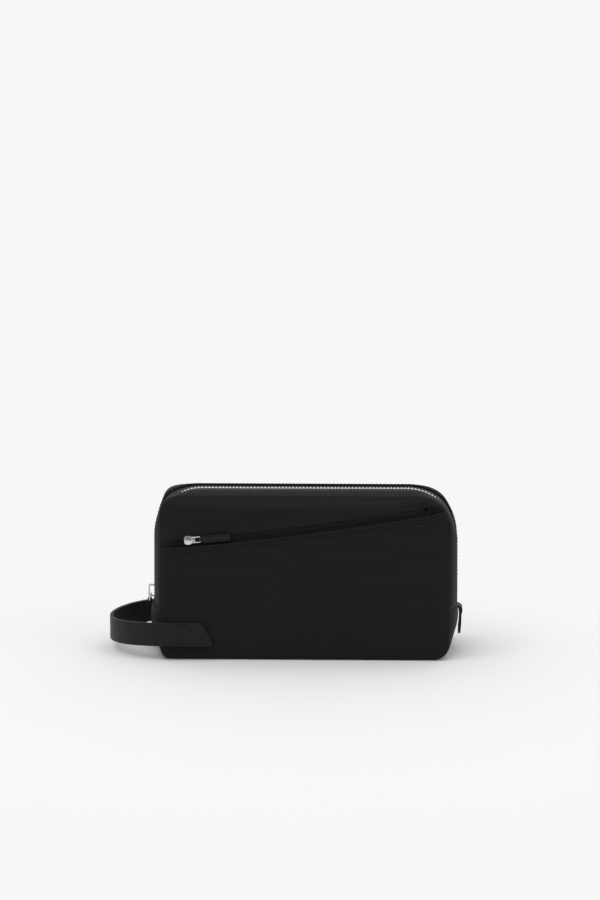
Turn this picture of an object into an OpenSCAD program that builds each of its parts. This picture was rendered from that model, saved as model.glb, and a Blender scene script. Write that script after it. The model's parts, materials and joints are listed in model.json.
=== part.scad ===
// Shaving kit bag: a padded zip-top pouch with a slanted front pocket, a leather side
// strap and a leather holding tab. X runs along the width, -Y is the front, +Z is up.
// The origin is the middle of the flat underside. All sizes are in millimetres.

/* [Body] */
// Width over the zip line, side to side
bag_w = 257; // [230:1:300]
// Height of the zip tape above the table
bag_h = 140; // [125:1:165]
// Width of the front and back panels
panel_w = 246; // [216:1:286]
// Depth at the table
base_d = 88; // [78:1:110]
// Depth across the two top seams
top_d = 54; // [48:1:76]
// Height of the zip tape above the top seams
top_swell = 3; // [1:0.5:6]
// Height at which the zip ends and the front folds open
fold_z = 40.5; // [34:0.5:50]
// Corner radius of the zip line
zip_corner_r = 30; // [22:1:40]
// Top corner radius of the panels
panel_corner_r = 16; // [12:1:24]
// Bottom corner radius of the panels
base_corner_r = 12; // [8:1:16]
// How far the lower side panels swell past the seams
side_swell = 9; // [5:0.5:11]

/* [Cloth] */
// Thickness of a padded outer panel
panel_t = 3; // [2:0.1:3.6]
// How far the rim of a panel rolls back into its seam
rim_roll = 1.5; // [0.5:0.1:1.6]
// Thickness of the base and lower side strip
base_t = 3; // [2:0.1:4]
// Thickness of the lining
lining_t = 0.8; // [0.5:0.1:1.2]
// Thickness of the stiffener board in the base
board_t = 1.6; // [1:0.1:2.5]
// Thickness of the zip gusset at the seam
gusset_t = 2.8; // [2:0.1:3.4]
// Thickness of the folded gusset edge beside the zip
gusset_edge_t = 1.3; // [0.8:0.1:2]
// Distance from the zip's centre line to the folded gusset edge
gusset_edge = 12; // [9:0.5:14]
// Gap left between pieces that are sewn together
seam_gap = 0.05; // [0.02:0.01:0.1]

/* [Front pocket] */
// Thickness of the pocket panel
pocket_t = 1.8; // [1.2:0.1:2.2]
// Distance from the top seam down to the lip at the middle, along the panel
lip_drop = 29.3; // [27:0.1:40]
// Slope of the lip at the middle, in degrees
lip_slope = 7.5; // [3:0.1:8]
// Radius of the lip's long upward sweep
lip_r = 2350; // [2000:50:4000]
// Room behind the lip, where the pocket zip lies
lip_room = 3; // [2.8:0.1:4]
// Room behind the pocket panel at its seams
pocket_room = 0.4; // [0.2:0.1:0.6]
// Radius of the pocket's top left corner
lip_corner_r = 6; // [3:0.5:8]

/* [Main zip] */
// Distance from tooth to tooth along one row
tooth_pitch = 3; // [2.8:0.1:3.6]
// Thickness of a tooth along the row
tooth_t = 1.3; // [1:0.05:1.35]
// Height of a tooth, through the tape
tooth_h = 2.6; // [2.2:0.1:3]
// Thickness of the zip tapes
tape_t = 0.7; // [0.4:0.1:0.9]
// How far the slider's middle stands above the end of the zip
slider_rise = 13.5; // [12:0.5:16]
// Length of the slider
slider_l = 18; // [15:0.5:19]
// Width of the slider at its nose
slider_w = 10.6; // [10.6:0.1:12]
// Thickness of one slider plate
plate_t = 1.2; // [0.8:0.1:1.4]
// Length of the slider's bridge
bridge_l = 11; // [9:0.5:12]
// Height of the slider's bridge
bridge_h = 5.4; // [4.6:0.1:6]
// Angle at which the pull hangs out from the side, in degrees
pull_hang = 12; // [8:1:20]

/* [Pocket zip] */
// Height of the zip's centre line above the lip
zip_rise = 4.9; // [4.4:0.1:5.4]
// Distance from coil to coil along one row
coil_pitch = 2.5; // [2:0.1:3]
// Thickness of the coil
coil_h = 1.8; // [1.4:0.1:1.9]
// Half of the zip's length
pocket_zip_half = 106; // [80:1:106]
// Length of the pocket slider
small_slider_l = 9.5; // [8.5:0.5:11]
// Width of the pocket slider at its nose
small_slider_w = 7.4; // [7.2:0.1:7.8]
// Thickness of one pocket slider plate
small_plate_t = 0.8; // [0.6:0.1:0.9]

/* [Pulls] */
// Thickness of the wire of the main pull link
link_wire = 1.4; // [1:0.1:1.6]
// Distance between the two bars of the main pull link
link_l = 5; // [4.5:0.5:10]
// Width of the main pull link, outside
link_w = 7.4; // [6.6:0.2:8]
// Length of the main leather pull
pull_l = 26; // [20:1:32]
// Width of the main leather pull
pull_w = 8; // [7:0.5:10]
// Thickness of the leather pulls
pull_t = 2.4; // [2:0.1:2.8]
// Length of the pocket's leather pull
small_pull_l = 25; // [18:1:28]
// Width of the pocket's leather pull
small_pull_w = 6; // [5.6:0.2:7]

/* [Strap and tab] */
// Width of the strap
strap_w = 20; // [16:1:24]
// Height of the strap's lower edge, along the panel
strap_s = 12; // [10:1:16]
// Thickness of the strap's outer leather
strap_t = 1.6; // [1.2:0.1:2]
// Thickness of the strap's lining leather
strap_lining_t = 1.4; // [1:0.1:1.8]
// How far the loop stands out from the side of the panels
strap_reach = 45; // [36:1:55]
// How far the tip of the loop droops
strap_droop = 3.5; // [0:0.5:6]
// Length of the strap sewn down along the panel
strap_anchor = 47; // [40:1:60]
// How much further the lower corner of the anchor reaches
strap_slant = 11; // [6:1:14]
// Length of the holding tab
tab_l = 27; // [20:1:30]
// Width of the holding tab
tab_w = 13; // [10:1:16]
// Thickness of the holding tab
tab_t = 2; // [1.6:0.1:2.4]

/* [Hidden] */

$fn = 32;
body_gap = 0.3;             // between pieces that move against each other
seam_z = bag_h - top_swell; // height of the two top seams
panel_z = 1.2;              // the panels' bottom edge clears the table by this
lean = atan((base_d - top_d) / 2 / seam_z);
panel_mid_z = (seam_z + panel_z) / 2;
lip_s = seam_z / cos(lean) - lip_drop;
panel_hw = panel_w / 2;
bag_hw = bag_w / 2;
tuck_z = 32;                // the lower side panels tuck in below this height

cloth = [0.13, 0.13, 0.14];
lining_cloth = [0.32, 0.33, 0.35];
leather = [0.11, 0.11, 0.11];
tape_cloth = [0.2, 0.2, 0.21];
nickel = [0.75, 0.73, 0.71];
board_grey = [0.45, 0.43, 0.4];

// ---------- shared shapes ----------

// Solid through a list of closed rings that all have the same, even number of points.
// The first and last rings are closed by a ladder from point j to point n - 1 - j.
module loft(rings) {
    n = len(rings[0]);
    last = (len(rings) - 1) * n;
    sides = [
        for (i = [0:len(rings) - 2], j = [0:n - 1])
            let (a = i * n + j, b = i * n + (j + 1) % n)
                each [[a, b, b + n], [a, b + n, a + n]]
    ];
    ends = [
        for (j = [0:n / 2 - 2]) let (k = n - 1 - j)
            each [
                [k, k - 1, j + 1], [k, j + 1, j],
                [last + j, last + j + 1, last + k], [last + j + 1, last + k - 1, last + k]
            ]
    ];
    polyhedron([for (r = rings) each r], concat(sides, ends), convexity = 8);
}

function reversed(list) = [for (i = [len(list) - 1:-1:0]) list[i]];

// Puts a shape drawn on the leaning front plane in place: X along it, Y up it, Z out of it
module on_front() {
    translate([0, -base_d / 2, 0]) rotate([90 - lean, 0, 0]) children();
}

// A point of the front plane, at x, at s up the plane and at d out of it
function front_point(x, s, d) =
    [x, -base_d / 2 + s * sin(lean) - d * cos(lean), s * cos(lean) + d * sin(lean)];

// Half of the bag's depth at height z
function half_depth(z) = base_d / 2 - z * tan(lean);

module rounded_plate(w, h, r, t) {
    linear_extrude(t) {
        square([w - 2 * r, h], center = true);
        square([w, h - 2 * r], center = true);
        for (x = [-1, 1], y = [-1, 1])
            translate([x * (w / 2 - r), y * (h / 2 - r)]) circle(r);
    }
}

// ---------- front and back panels ----------

// Stations across a panel: close together in the rounded corners, wide apart between them
corner_steps = 8;
middle_steps = 6;
panel_run = panel_hw - panel_corner_r;
panel_xs = concat(
    [for (i = [0:corner_steps - 1]) -panel_run - panel_corner_r * cos(90 * i / corner_steps)],
    [for (i = [0:middle_steps]) -panel_run + 2 * panel_run * i / middle_steps],
    [for (i = [1:corner_steps]) panel_run + panel_corner_r * sin(90 * i / corner_steps)]
);

// Top and bottom of the panel's outline at x
function panel_top(x) =
    let (c = max(0, abs(x) - panel_run))
        seam_z - panel_corner_r + sqrt(max(0, pow(panel_corner_r, 2) - c * c));
function panel_bottom(x) =
    let (c = max(0, abs(x) - (panel_hw - base_corner_r)))
        panel_z + base_corner_r - sqrt(max(0, pow(base_corner_r, 2) - c * c));

// How far the outer face rolls back at a point: nothing in the middle, all of it at the rim
function rolled(x, z) =
    let (
        u = pow(abs(x) / panel_hw, 16),
        rim = z > panel_mid_z ? panel_top(x) : panel_bottom(x),
        v = pow((z - panel_mid_z) / (rim - panel_mid_z), 16)
    ) rim_roll * (1 - (1 - min(1, u)) * (1 - min(1, v)));

function panel_y(x, z) = -half_depth(z) + rolled(x, z);

// A panel between two heights, which are functions of x. Rows give where its points lie.
function panel_ring(x, low, high, rows) =
    let (zs = [for (f = rows) low + (high - low) * f])
        concat(
            [for (z = zs) [x, panel_y(x, z), z]],
            [for (z = reversed(zs)) [x, -half_depth(z) + panel_t, z]]
        );

lower_rows = [0, 0.03, 0.09, 0.2, 0.5, 1];
upper_rows = [0, 0.35, 0.7, 0.85, 0.93, 0.98, 1];
whole_rows = [0, 0.01, 0.03, 0.08, 0.2, 0.5, 0.75, 0.88, 0.94, 0.98, 1];

module front_panel_lower() {
    color(cloth) loft([for (x = panel_xs) panel_ring(x, panel_bottom(x), fold_z, lower_rows)]);
}

module front_panel_upper() {
    low = fold_z + body_gap;
    color(cloth) loft([for (x = panel_xs) panel_ring(x, low, panel_top(x), upper_rows)]);
}

module back_panel() {
    color(cloth) mirror([0, 1, 0])
        loft([for (x = panel_xs) panel_ring(x, panel_bottom(x), panel_top(x), whole_rows)]);
}

// ---------- front pocket ----------

// The lip is an arc drawn on the front plane. Its centre is far above the bag.
lip_centre_x = -lip_r * sin(lip_slope);
lip_centre_s = lip_s + lip_r * cos(lip_slope);

// Height up the plane of the arc with that radius, at x
function arc_s(x, r) = lip_centre_s - sqrt(r * r - pow(x - lip_centre_x, 2));
function arc_slope(x, r) = asin((x - lip_centre_x) / r);

// The lip's height at x, with its rounded left corner
function lip_z(x) =
    let (c = max(0, lip_corner_r - (x + panel_hw)))
        min(
            (arc_s(x, lip_r) - lip_corner_r + sqrt(max(0, pow(lip_corner_r, 2) - c * c))) * cos(lean),
            panel_top(x)
        );

// Room between the front panel and the pocket panel
function room(x, z) =
    let (
        side = 1 - min(1, pow(abs(x) / panel_hw, 16)),
        up = min(1, max(0, z) / (arc_s(x, lip_r) * cos(lean)))
    ) pocket_room + (lip_room - pocket_room) * side * pow(up, 1.5);

function pocket_ring(x, low, high, rows) =
    let (zs = [for (f = rows) low + (high - low) * f])
        concat(
            [for (z = zs) [x, panel_y(x, z) - room(x, z) - pocket_t, z]],
            [for (z = reversed(zs)) [x, panel_y(x, z) - room(x, z), z]]
        );

pocket_rows = [0, 0.25, 0.5, 0.75, 1];

// The pocket panel has its own corner at the left, so it gets closer stations there
pocket_xs = concat(
    [for (a = [0:15:75]) -panel_hw + lip_corner_r * (1 - cos(a))],
    [for (x = panel_xs) if (x > -panel_hw + lip_corner_r) x]
);

module pocket_panel_lower() {
    color(cloth) loft([for (x = panel_xs) pocket_ring(x, panel_bottom(x), fold_z, lower_rows)]);
}

module pocket_panel_upper() {
    low = fold_z + body_gap;
    color(cloth) loft([for (x = pocket_xs) pocket_ring(x, low, lip_z(x), pocket_rows)]);
}

// ---------- zip gusset and zip tapes ----------

parting_half = 4.5; // the rows part over this far above and below the slider's middle
slider_z = fold_z + slider_rise;
arch_side_steps = 4;
arch_corner_steps = 12;
arch_top_steps = 8;

// Heights up a side, with one at each end of the stretch where the rows part
function side_zs(high) =
    let (low = slider_z + parting_half)
        concat(
            [fold_z + body_gap, slider_z - parting_half],
            [for (i = [0:arch_side_steps - 1]) low + (high - low) * i / arch_side_steps]
        );

// Stations along an arch: [x, z, outward x, outward z], from the left end over to the right
function arch(hw, top, r) =
    let (zs = side_zs(top - r), run = hw - r)
        concat(
            [for (z = zs) [-hw, z, -1, 0]],
            [
                for (i = [0:arch_corner_steps - 1]) let (a = 90 * i / arch_corner_steps)
                    [-run - r * cos(a), top - r + r * sin(a), -cos(a), sin(a)]
            ],
            [for (i = [0:arch_top_steps]) [-run + 2 * run * i / arch_top_steps, top, 0, 1]],
            [
                for (i = [1:arch_corner_steps]) let (a = 90 - 90 * i / arch_corner_steps)
                    [run + r * cos(a), top - r + r * sin(a), cos(a), sin(a)]
            ],
            [for (z = reversed(zs)) [hw, z, 1, 0]]
        );

seam_arch = arch(panel_hw, seam_z, panel_corner_r);
zip_arch = arch(bag_hw, bag_h, zip_corner_r);
stations = len(zip_arch);

// Depth of the front seam at a station, and a point of the swelling surface over it.
// v runs from 0 at the zip to 1 at the seam. out moves the point off the surface.
function seam_depth(i) = half_depth(seam_arch[i][1]) - panel_t - seam_gap;
function swell_point(i, v, out) =
    let (
        s = seam_arch[i],
        z = zip_arch[i],
        k = 1 - pow(v, 3)
    ) [
        s[0] + (z[0] - s[0]) * k + out * s[2],
        -v * seam_depth(i),
        s[1] + (z[1] - s[1]) * k + out * s[3]
    ];

gusset_steps = 4;
gusset_lift = gusset_edge_t + 0.1; // the folded edge stands this high on the tape

function gusset_ring(i) =
    let (
        near = gusset_edge / seam_depth(i),
        fs = [for (k = [0:gusset_steps]) k / gusset_steps]
    ) concat(
        [for (f = fs) swell_point(i, near + (1 - near) * f, gusset_lift * (1 - f))],
        [
            for (f = reversed(fs))
                swell_point(
                    i, near + (1 - near) * f,
                    gusset_lift * (1 - f) - gusset_edge_t - (gusset_t - gusset_edge_t) * f
                )
        ]
    );

module zip_gusset_front() {
    color(cloth) loft([for (i = [0:stations - 1]) gusset_ring(i)]);
}

module zip_gusset_rear() {
    color(cloth) mirror([0, 1, 0]) loft([for (i = [0:stations - 1]) gusset_ring(i)]);
}

// The two rows part by this much on each side of the slider's post
tape_edge = 1.7;
row_parting = 1.8;
function parting(x, z) =
    x > 0 ? 0 : row_parting * min(1, max(0, (slider_z + parting_half - z) / (2 * parting_half)));

tape_steps = 3;
function tape_ring(i) =
    let (
        open = tape_edge + parting(zip_arch[i][0], zip_arch[i][1]),
        ys = [for (k = [0:tape_steps]) open + (gusset_edge - seam_gap - open) * k / tape_steps]
    ) concat(
        [for (y = ys) swell_point(i, y / seam_depth(i), 0)],
        [for (y = reversed(ys)) swell_point(i, y / seam_depth(i), -tape_t)]
    );

module zip_tape_front() {
    color(tape_cloth) loft([for (i = [0:stations - 1]) tape_ring(i)]);
}

module zip_tape_rear() {
    color(tape_cloth) mirror([0, 1, 0]) loft([for (i = [0:stations - 1]) tape_ring(i)]);
}

// ---------- main zip: teeth and stops ----------

// The zip line in parts: up the side, round a corner, over the top, and down again
zip_low = fold_z + body_gap;
side_run = bag_h - zip_corner_r - zip_low;
corner_run = zip_corner_r * PI / 2;
top_run = bag_w - 2 * zip_corner_r;
zip_length = 2 * side_run + 2 * corner_run + top_run;

// Place and turn about Y, at p along the zip line from its left end
function left_place(p) =
    let (a = min(90, max(0, (p - side_run) / zip_corner_r * 180 / PI)))
        p < side_run ? [-bag_hw, zip_low + p, -90] :
            [
                -bag_hw + zip_corner_r * (1 - cos(a)) + max(0, p - side_run - corner_run),
                bag_h - zip_corner_r * (1 - sin(a)),
                a - 90
            ];
function zip_place(p) =
    p <= zip_length / 2 ? left_place(p) :
        let (q = left_place(zip_length - p)) [-q[0], q[1], -q[2]];

// Puts a shape on the zip line: X along the zip, Z out of the bag, Y = 0 between the rows
module on_zip(p) {
    q = zip_place(p);
    translate([q[0], 0, q[1]]) rotate([0, q[2], 0]) translate([0, 0, -tape_t / 2]) children();
}

tooth_reach = 0.6; // how far a tooth crosses the centre line
jaw_back = 2.6;    // where its jaws end on the tape
jaw_slot = tape_t + 0.3;

module tooth() {
    h = tooth_h / 2;
    rotate([90, 0, 90]) linear_extrude(tooth_t, center = true) polygon([
        [-jaw_back, -h], [-1, -h], [-0.6, 0.35 - h], [tooth_reach, 0.5 - h],
        [tooth_reach, h - 0.5], [-0.6, h - 0.35], [-1, h], [-jaw_back, h],
        [-jaw_back, jaw_slot / 2], [0.1 - tape_edge, jaw_slot / 2],
        [0.1 - tape_edge, -jaw_slot / 2], [-jaw_back, -jaw_slot / 2]
    ]);
}

teeth_start = 3.4; // the stops take up the first stretch of the zip
teeth_count = floor((zip_length - 2 * teeth_start) / tooth_pitch);

module teeth_row(shift) {
    for (k = [0:teeth_count - 1]) {
        p = teeth_start + (k + shift) * tooth_pitch;
        q = zip_place(p);
        on_zip(p) translate([0, -parting(q[0], q[1]), 0]) tooth();
    }
}

module zip_teeth_front() {
    color(nickel) teeth_row(0);
}

module zip_teeth_rear() {
    color(nickel) mirror([0, 1, 0]) teeth_row(0.5);
}

stop_l = 2.2;

// A metal clip round the edge of one tape, beyond the last tooth
module top_stop() {
    difference() {
        translate([0, -1.5, 0]) cube([stop_l, 2.4, tooth_h], center = true);
        translate([0, -2.5, 0]) cube([stop_l + 1, 2, jaw_slot], center = true);
    }
}

module zip_top_stops() {
    color(nickel) for (side = [0, 1])
        mirror([0, side, 0]) on_zip(1.3) translate([0, -row_parting, 0]) top_stop();
}

// The bar that joins the two rows at the right end
module zip_bottom_stop() {
    color(nickel) on_zip(zip_length - 1.4) difference() {
        cube([stop_l, 5.4, tooth_h + 0.4], center = true);
        for (side = [-1, 1])
            translate([0, side * 2.7, 0]) cube([stop_l + 1, 2.2, jaw_slot], center = true);
    }
}

// ---------- base ----------

// The strip's path: down the left side, round the corner, across the table and up again.
// Each entry is [x, z, outward x, outward z, swell].
base_side_steps = 5;
base_corner_steps = 7;
base_run = panel_hw - base_corner_r;
function side_tuck(z) = let (t = min(1, z / tuck_z)) side_swell * t * t * (3 - 2 * t);
left_base = concat(
    [
        for (i = [0:base_side_steps - 1])
            let (z = fold_z - (fold_z - base_corner_r) * i / base_side_steps)
                [-panel_hw, z, -1, 0, side_tuck(z)]
    ],
    [
        for (i = [0:base_corner_steps])
            let (a = 90 * i / base_corner_steps, z = base_corner_r * (1 - sin(a)))
                [-base_run - base_corner_r * cos(a), z, -cos(a), -sin(a), side_tuck(z)]
    ]
);
base_path = concat(left_base, [for (s = reversed(left_base)) [-s[0], s[1], -s[2], s[3], s[4]]]);

base_fs = [for (k = [-4:4]) k / 4];
function base_point(s, f, out) =
    let (o = s[4] * (1 - pow(abs(f), 3)) + out, z = s[1] + o * s[3])
        [s[0] + o * s[2], f * (half_depth(z) - panel_t - seam_gap), z];
function base_ring(s) =
    concat(
        [for (f = base_fs) base_point(s, f, 0)],
        [for (f = reversed(base_fs)) base_point(s, f, -base_t)]
    );

module base_gusset() {
    color(cloth) loft([for (s = base_path) base_ring(s)]);
}

board_w = 2 * base_run;
board_d = base_d - 2 * panel_t - 4;

module base_board() {
    color(board_grey) translate([0, 0, base_t + seam_gap]) rounded_plate(board_w, board_d, 6, board_t);
}

// ---------- lining ----------

tub_z = base_t + board_t + 2 * seam_gap;
tub_r = 12;
tub_gap = 0.3;

// Half the width of the room inside the base strip, at height z
function inside_hw(z) =
    let (r = base_corner_r - base_t, c = max(0, base_corner_r - z))
        base_run + sqrt(max(0, r * r - c * c));

// Rounded rectangle in plan, at height z, as the ring of a loft
function tub_ring(z, inset) =
    let (
        w = inside_hw(z) - 1 - inset,
        d = half_depth(z) - panel_t - tub_gap - inset,
        r = tub_r - inset
    ) [
        for (q = [0:3], i = [0:5]) let (a = 90 * q + 18 * i)
            [(q == 0 || q == 3 ? 1 : -1) * (w - r) + r * cos(a), (q < 2 ? 1 : -1) * (d - r) + r * sin(a), z]
    ];

module lining_tub() {
    zs = [tub_z, tub_z + 2.5, max(base_corner_r, tub_z + 5), fold_z - 1];
    color(lining_cloth) loft(concat(
        [for (z = zs) tub_ring(z, 0)],
        [for (z = reversed(zs)) tub_ring(max(z, tub_z + lining_t), lining_t)]
    ));
}

lining_low = fold_z + 2;
lining_h = (seam_z - 6 - lining_low) / cos(lean);
lining_w = panel_w - 16;

// A flat lining sheet on the inner face of the front, from the fold up
module lining_sheet() {
    on_front() translate([0, lining_low / cos(lean) + lining_h / 2, -panel_t * cos(lean) - 0.3 - lining_t])
        rounded_plate(lining_w, lining_h, panel_corner_r - 4, lining_t);
}

module lining_front() {
    color(lining_cloth) lining_sheet();
}

module lining_back() {
    color(lining_cloth) mirror([0, 1, 0]) lining_sheet();
}

pocket_sheet_w = 170;
pocket_sheet_h = 58;

// The slip pocket on the back lining
module inner_pocket() {
    low = lining_low / cos(lean) + 4;
    out = -panel_t * cos(lean) - 0.3 - 2 * lining_t - seam_gap;
    color(lining_cloth) mirror([0, 1, 0]) on_front()
        translate([0, low + pocket_sheet_h / 2, out])
            rounded_plate(pocket_sheet_w, pocket_sheet_h, 4, lining_t);
}

// ---------- strap ----------

strap_total = strap_t + strap_lining_t;
strap_front_d = pocket_t + 1.3;      // clears the pocket panel under the anchor
strap_back_d = 0.15;
strap_mid = strap_s + strap_w / 2;
strap_bend_x = 6 - panel_hw;         // where the strap leaves the panel
strap_steps = 20;

// Centre line of the strap at d out of the front or back panel: [x, y, z]
function strap_seat(x, side, d) =
    let (p = front_point(x, strap_mid, d + strap_total / 2)) [p[0], side * -p[1], p[2]];

strap_front = strap_seat(strap_bend_x, -1, strap_front_d);
strap_back = strap_seat(strap_bend_x, 1, strap_back_d);
strap_mid_y = (strap_front[1] + strap_back[1]) / 2;
strap_half_y = (strap_back[1] - strap_front[1]) / 2;
strap_half_x = strap_reach + 6;

// [x, y, z, outward x, outward y] round the loop, a from -90 at the front to 90 at the back
function loop_station(a) =
    let (
        n = [-cos(a) / strap_half_x, sin(a) / strap_half_y],
        k = sqrt(n * n),
        level = (strap_back[2] + strap_front[2]) / 2 + (strap_back[2] - strap_front[2]) / 2 * sin(a)
    ) [
        strap_bend_x - strap_half_x * cos(a), strap_mid_y + strap_half_y * sin(a),
        level - strap_droop * pow(cos(a), 2), n[0] / k, n[1] / k
    ];

anchor_end = strap_bend_x + strap_anchor - 6;
strap_path = concat(
    [for (x = [anchor_end, strap_bend_x + 12]) [x, strap_front[1], strap_front[2], 0, -1]],
    [for (i = [0:strap_steps]) loop_station(-90 + 180 * i / strap_steps)],
    [for (x = [strap_bend_x + 12, anchor_end]) [x, strap_back[1], strap_back[2], 0, 1]]
);

// One ring of the strap: it leans with the panels and stands upright at the tip.
// near and far are distances from the strap's middle, towards the outside.
function strap_ring(i, near, far) =
    let (
        s = strap_path[i],
        tilt = -lean * (s[1] - strap_mid_y) / strap_half_y,
        up = [0, sin(tilt), cos(tilt)],
        out = [s[3], s[4] * cos(tilt), -s[4] * sin(tilt)],
        slant = i == 0 || i == len(strap_path) - 1 ? strap_slant : 0,
        c = [s[0], s[1], s[2]]
    ) [
        for (q = [[near, -1], [far, -1], [far, 1], [near, 1]])
            c + q[0] * out + q[1] * strap_w / 2 * up + [q[1] < 0 ? slant : 0, 0, 0]
    ];

module strap_layer(near, far) {
    loft(reversed([for (i = [0:len(strap_path) - 1]) strap_ring(i, near, far)]));
}

module strap() {
    color(leather) strap_layer(strap_lining_t - strap_total / 2 + 2 * seam_gap, strap_total / 2);
}

module strap_lining() {
    color(leather) strap_layer(-strap_total / 2, strap_lining_t - strap_total / 2);
}

// ---------- holding tab ----------

// The tab is cut from a side view: from the seam down to its free end, thick at the top
// where the leather is turned in, and slightly bowed
tab_root_x = panel_hw + side_swell + body_gap;
tab_top = fold_z - 0.5;
tab_bow = 0.8;
tab_fold_l = 11;
tab_fold_t = 1.3;
tab_steps = 20;

function tab_inner(f) = tab_root_x + tab_bow * sin(180 * f);
function tab_outer(f) =
    let (g = min(1, f * tab_l / tab_fold_l))
        tab_inner(f) + tab_t * min(1, 0.35 + 6 * f) + tab_fold_t * pow(sin(180 * g), 1.5);

module holding_tab() {
    fs = [for (i = [0:tab_steps]) i / tab_steps];
    color(leather) rotate([90, 0, 0]) linear_extrude(tab_w, center = true) polygon(concat(
        [for (f = fs) [tab_inner(f), tab_top - tab_l * f]],
        [for (f = reversed(fs)) [tab_outer(f), tab_top - tab_l * f]]
    ));
}

// ---------- sliders and pulls ----------

// Outline of a slider plate: nose at -X, tail at +X
function plate_outline(l, w, cut) =
    let (n = w / 2 - cut, t = w * 0.38 - cut)
        [
            [-l / 2 + 1.5, -n], [-l / 2 + 5, -n], [l / 2 - 3, -t], [l / 2 - 0.8, -t], [l / 2, 0.8 - t],
            [l / 2, t - 0.8], [l / 2 - 0.8, t], [l / 2 - 3, t], [-l / 2 + 5, n], [-l / 2 + 1.5, n],
            [-l / 2, n - 1.5], [-l / 2, 1.5 - n]
        ];

flange_w = 0.8;

// Two plates, the flanges that hold the rows in, and the post that parts them
module slider_body(l, w, plate, channel, slot, post_w, post_l) {
    for (side = [0, 1]) mirror([0, 0, side]) {
        translate([0, 0, channel / 2]) linear_extrude(plate) polygon(plate_outline(l, w, 0));
        translate([0, 0, slot / 2]) linear_extrude((channel - slot) / 2) difference() {
            polygon(plate_outline(l, w, 0));
            polygon(plate_outline(l + 4, w, flange_w));
        }
    }
    linear_extrude(channel, center = true) polygon([
        [0.6 - l / 2, 0], [2 - l / 2, -post_w / 2], [0.6 + post_l - l / 2, 0], [2 - l / 2, post_w / 2]
    ]);
}

module bridge_outline(l, h, r) {
    translate([-l / 2, 0]) square([l, h - r]);
    translate([r - l / 2, 0]) square([l - 2 * r, h]);
    for (x = [-1, 1]) translate([x * (l / 2 - r), h - r]) circle(r);
}

// The bridge over the outer plate that the pull hangs from
module slider_bridge(l, h, wire, w, seat) {
    r = h * 0.42;
    translate([0, 0, seat]) rotate([90, 0, 0]) linear_extrude(w, center = true) difference() {
        bridge_outline(l, h, r);
        translate([0, -1]) bridge_outline(l - 2 * wire, h - wire + 1, r - wire * 0.8);
    }
}

// A wire loop: its first bar lies on the Y axis, its second one at l along X
module pull_link(wire, l, w) {
    r = wire / 2;
    half = w / 2 - r;
    for (x = [0, l]) {
        translate([x, 0, 0]) rotate([90, 0, 0]) cylinder(r = r, h = 2 * half, center = true);
        for (y = [-half, half]) translate([x, y, 0]) sphere(r);
    }
    for (y = [-half, half]) translate([0, y, 0]) rotate([0, 90, 0]) cylinder(r = r, h = l);
}

// Leather folded round the link's second bar and sewn to itself
module pull_tab(wire, l, link_w, link_l, w) {
    neck = link_w - 2 * wire - 0.4;
    eye = wire / 2 + 0.05;
    fold_r = eye + pull_t * 0.4;
    start = link_l + wire / 2 + 0.5;
    difference() {
        union() {
            translate([link_l, 0, 0]) rotate([90, 0, 0]) cylinder(r = fold_r, h = neck, center = true);
            translate([link_l, -neck / 2, -pull_t / 2]) cube([4, neck, pull_t]);
            translate([start, 0, -pull_t / 2]) linear_extrude(pull_t) polygon([
                [0, -neck / 2], [1.5, -w / 2], [l - 1, -w / 2], [l, 1 - w / 2],
                [l, w / 2 - 1], [l - 1, w / 2], [1.5, w / 2], [0, neck / 2]
            ]);
        }
        translate([link_l, 0, 0]) rotate([90, 0, 0]) cylinder(r = eye, h = link_w, center = true);
    }
}

channel_h = tooth_h + 0.3;
slider_slot = tape_t + 0.6;
slider_p = slider_z - zip_low;
bridge_seat = channel_h / 2 + plate_t;
bridge_wire = 1.4;
bridge_x = bridge_l / 2 - slider_l / 2 - 0.7; // the bridge reaches past the nose a little
pull_play = 0.12;                              // between the link and the bridge
main_pivot_x = bridge_x - bridge_l / 2 + bridge_wire + link_wire / 2 + pull_play;
main_pivot_z = bridge_seat + bridge_h - bridge_wire - link_wire / 2 - pull_play;

module main_slider_body() {
    color(nickel) on_zip(slider_p)
        slider_body(slider_l, slider_w, plate_t, channel_h, slider_slot, 2, 4.4);
}

module main_slider_bridge() {
    color(nickel) on_zip(slider_p) translate([bridge_x, 0, 0])
        slider_bridge(bridge_l, bridge_h, bridge_wire, 2.6, bridge_seat + seam_gap);
}

// The main pull hangs towards the nose, and leans out from the side
module on_main_pull() {
    on_zip(slider_p) translate([main_pivot_x, 0, main_pivot_z]) rotate([0, 180 + pull_hang, 0])
        children();
}

module main_pull_link() {
    color(nickel) on_main_pull() pull_link(link_wire, link_l, link_w);
}

module main_pull_tab() {
    color(leather) on_main_pull() pull_tab(link_wire, pull_l, link_w, link_l, pull_w);
}

// ---------- pocket zip ----------

zip_r = lip_r - zip_rise; // radius of the pocket zip's centre line
zip_d = small_plate_t + 0.35 + (coil_h + 0.2) / 2; // its distance from the front panel
coil_reach = 0.4;

// Angle round the arc's centre for a place at x on the pocket zip
function zip_angle(x) = asin((x - lip_centre_x) / zip_r);
function zip_xy(a, off) = [lip_centre_x + (zip_r - off) * sin(a), lip_centre_s - (zip_r - off) * cos(a)];
// Puts a shape on the pocket zip: X along it, Y up the panel, Z out of the panel
module on_pocket_zip(x) {
    a = zip_angle(x);
    p = zip_xy(a, 0);
    on_front() translate([p[0], p[1], zip_d]) rotate([0, 0, a]) children();
}

pocket_tape_in = 1.9;
pocket_tape_out = 7.4;
pocket_tape_t = 0.6;
pocket_stop_l = 1.4;
pocket_slider_x = 3 - pocket_zip_half + small_slider_l / 2;

// The rows part by this much on each side of the slider's post
coil_parting = 0.7;
coil_part_half = 2.5;
function coil_part(x) =
    coil_parting * min(1, max(0, (pocket_slider_x + coil_part_half - x) / (2 * coil_part_half)));

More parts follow.
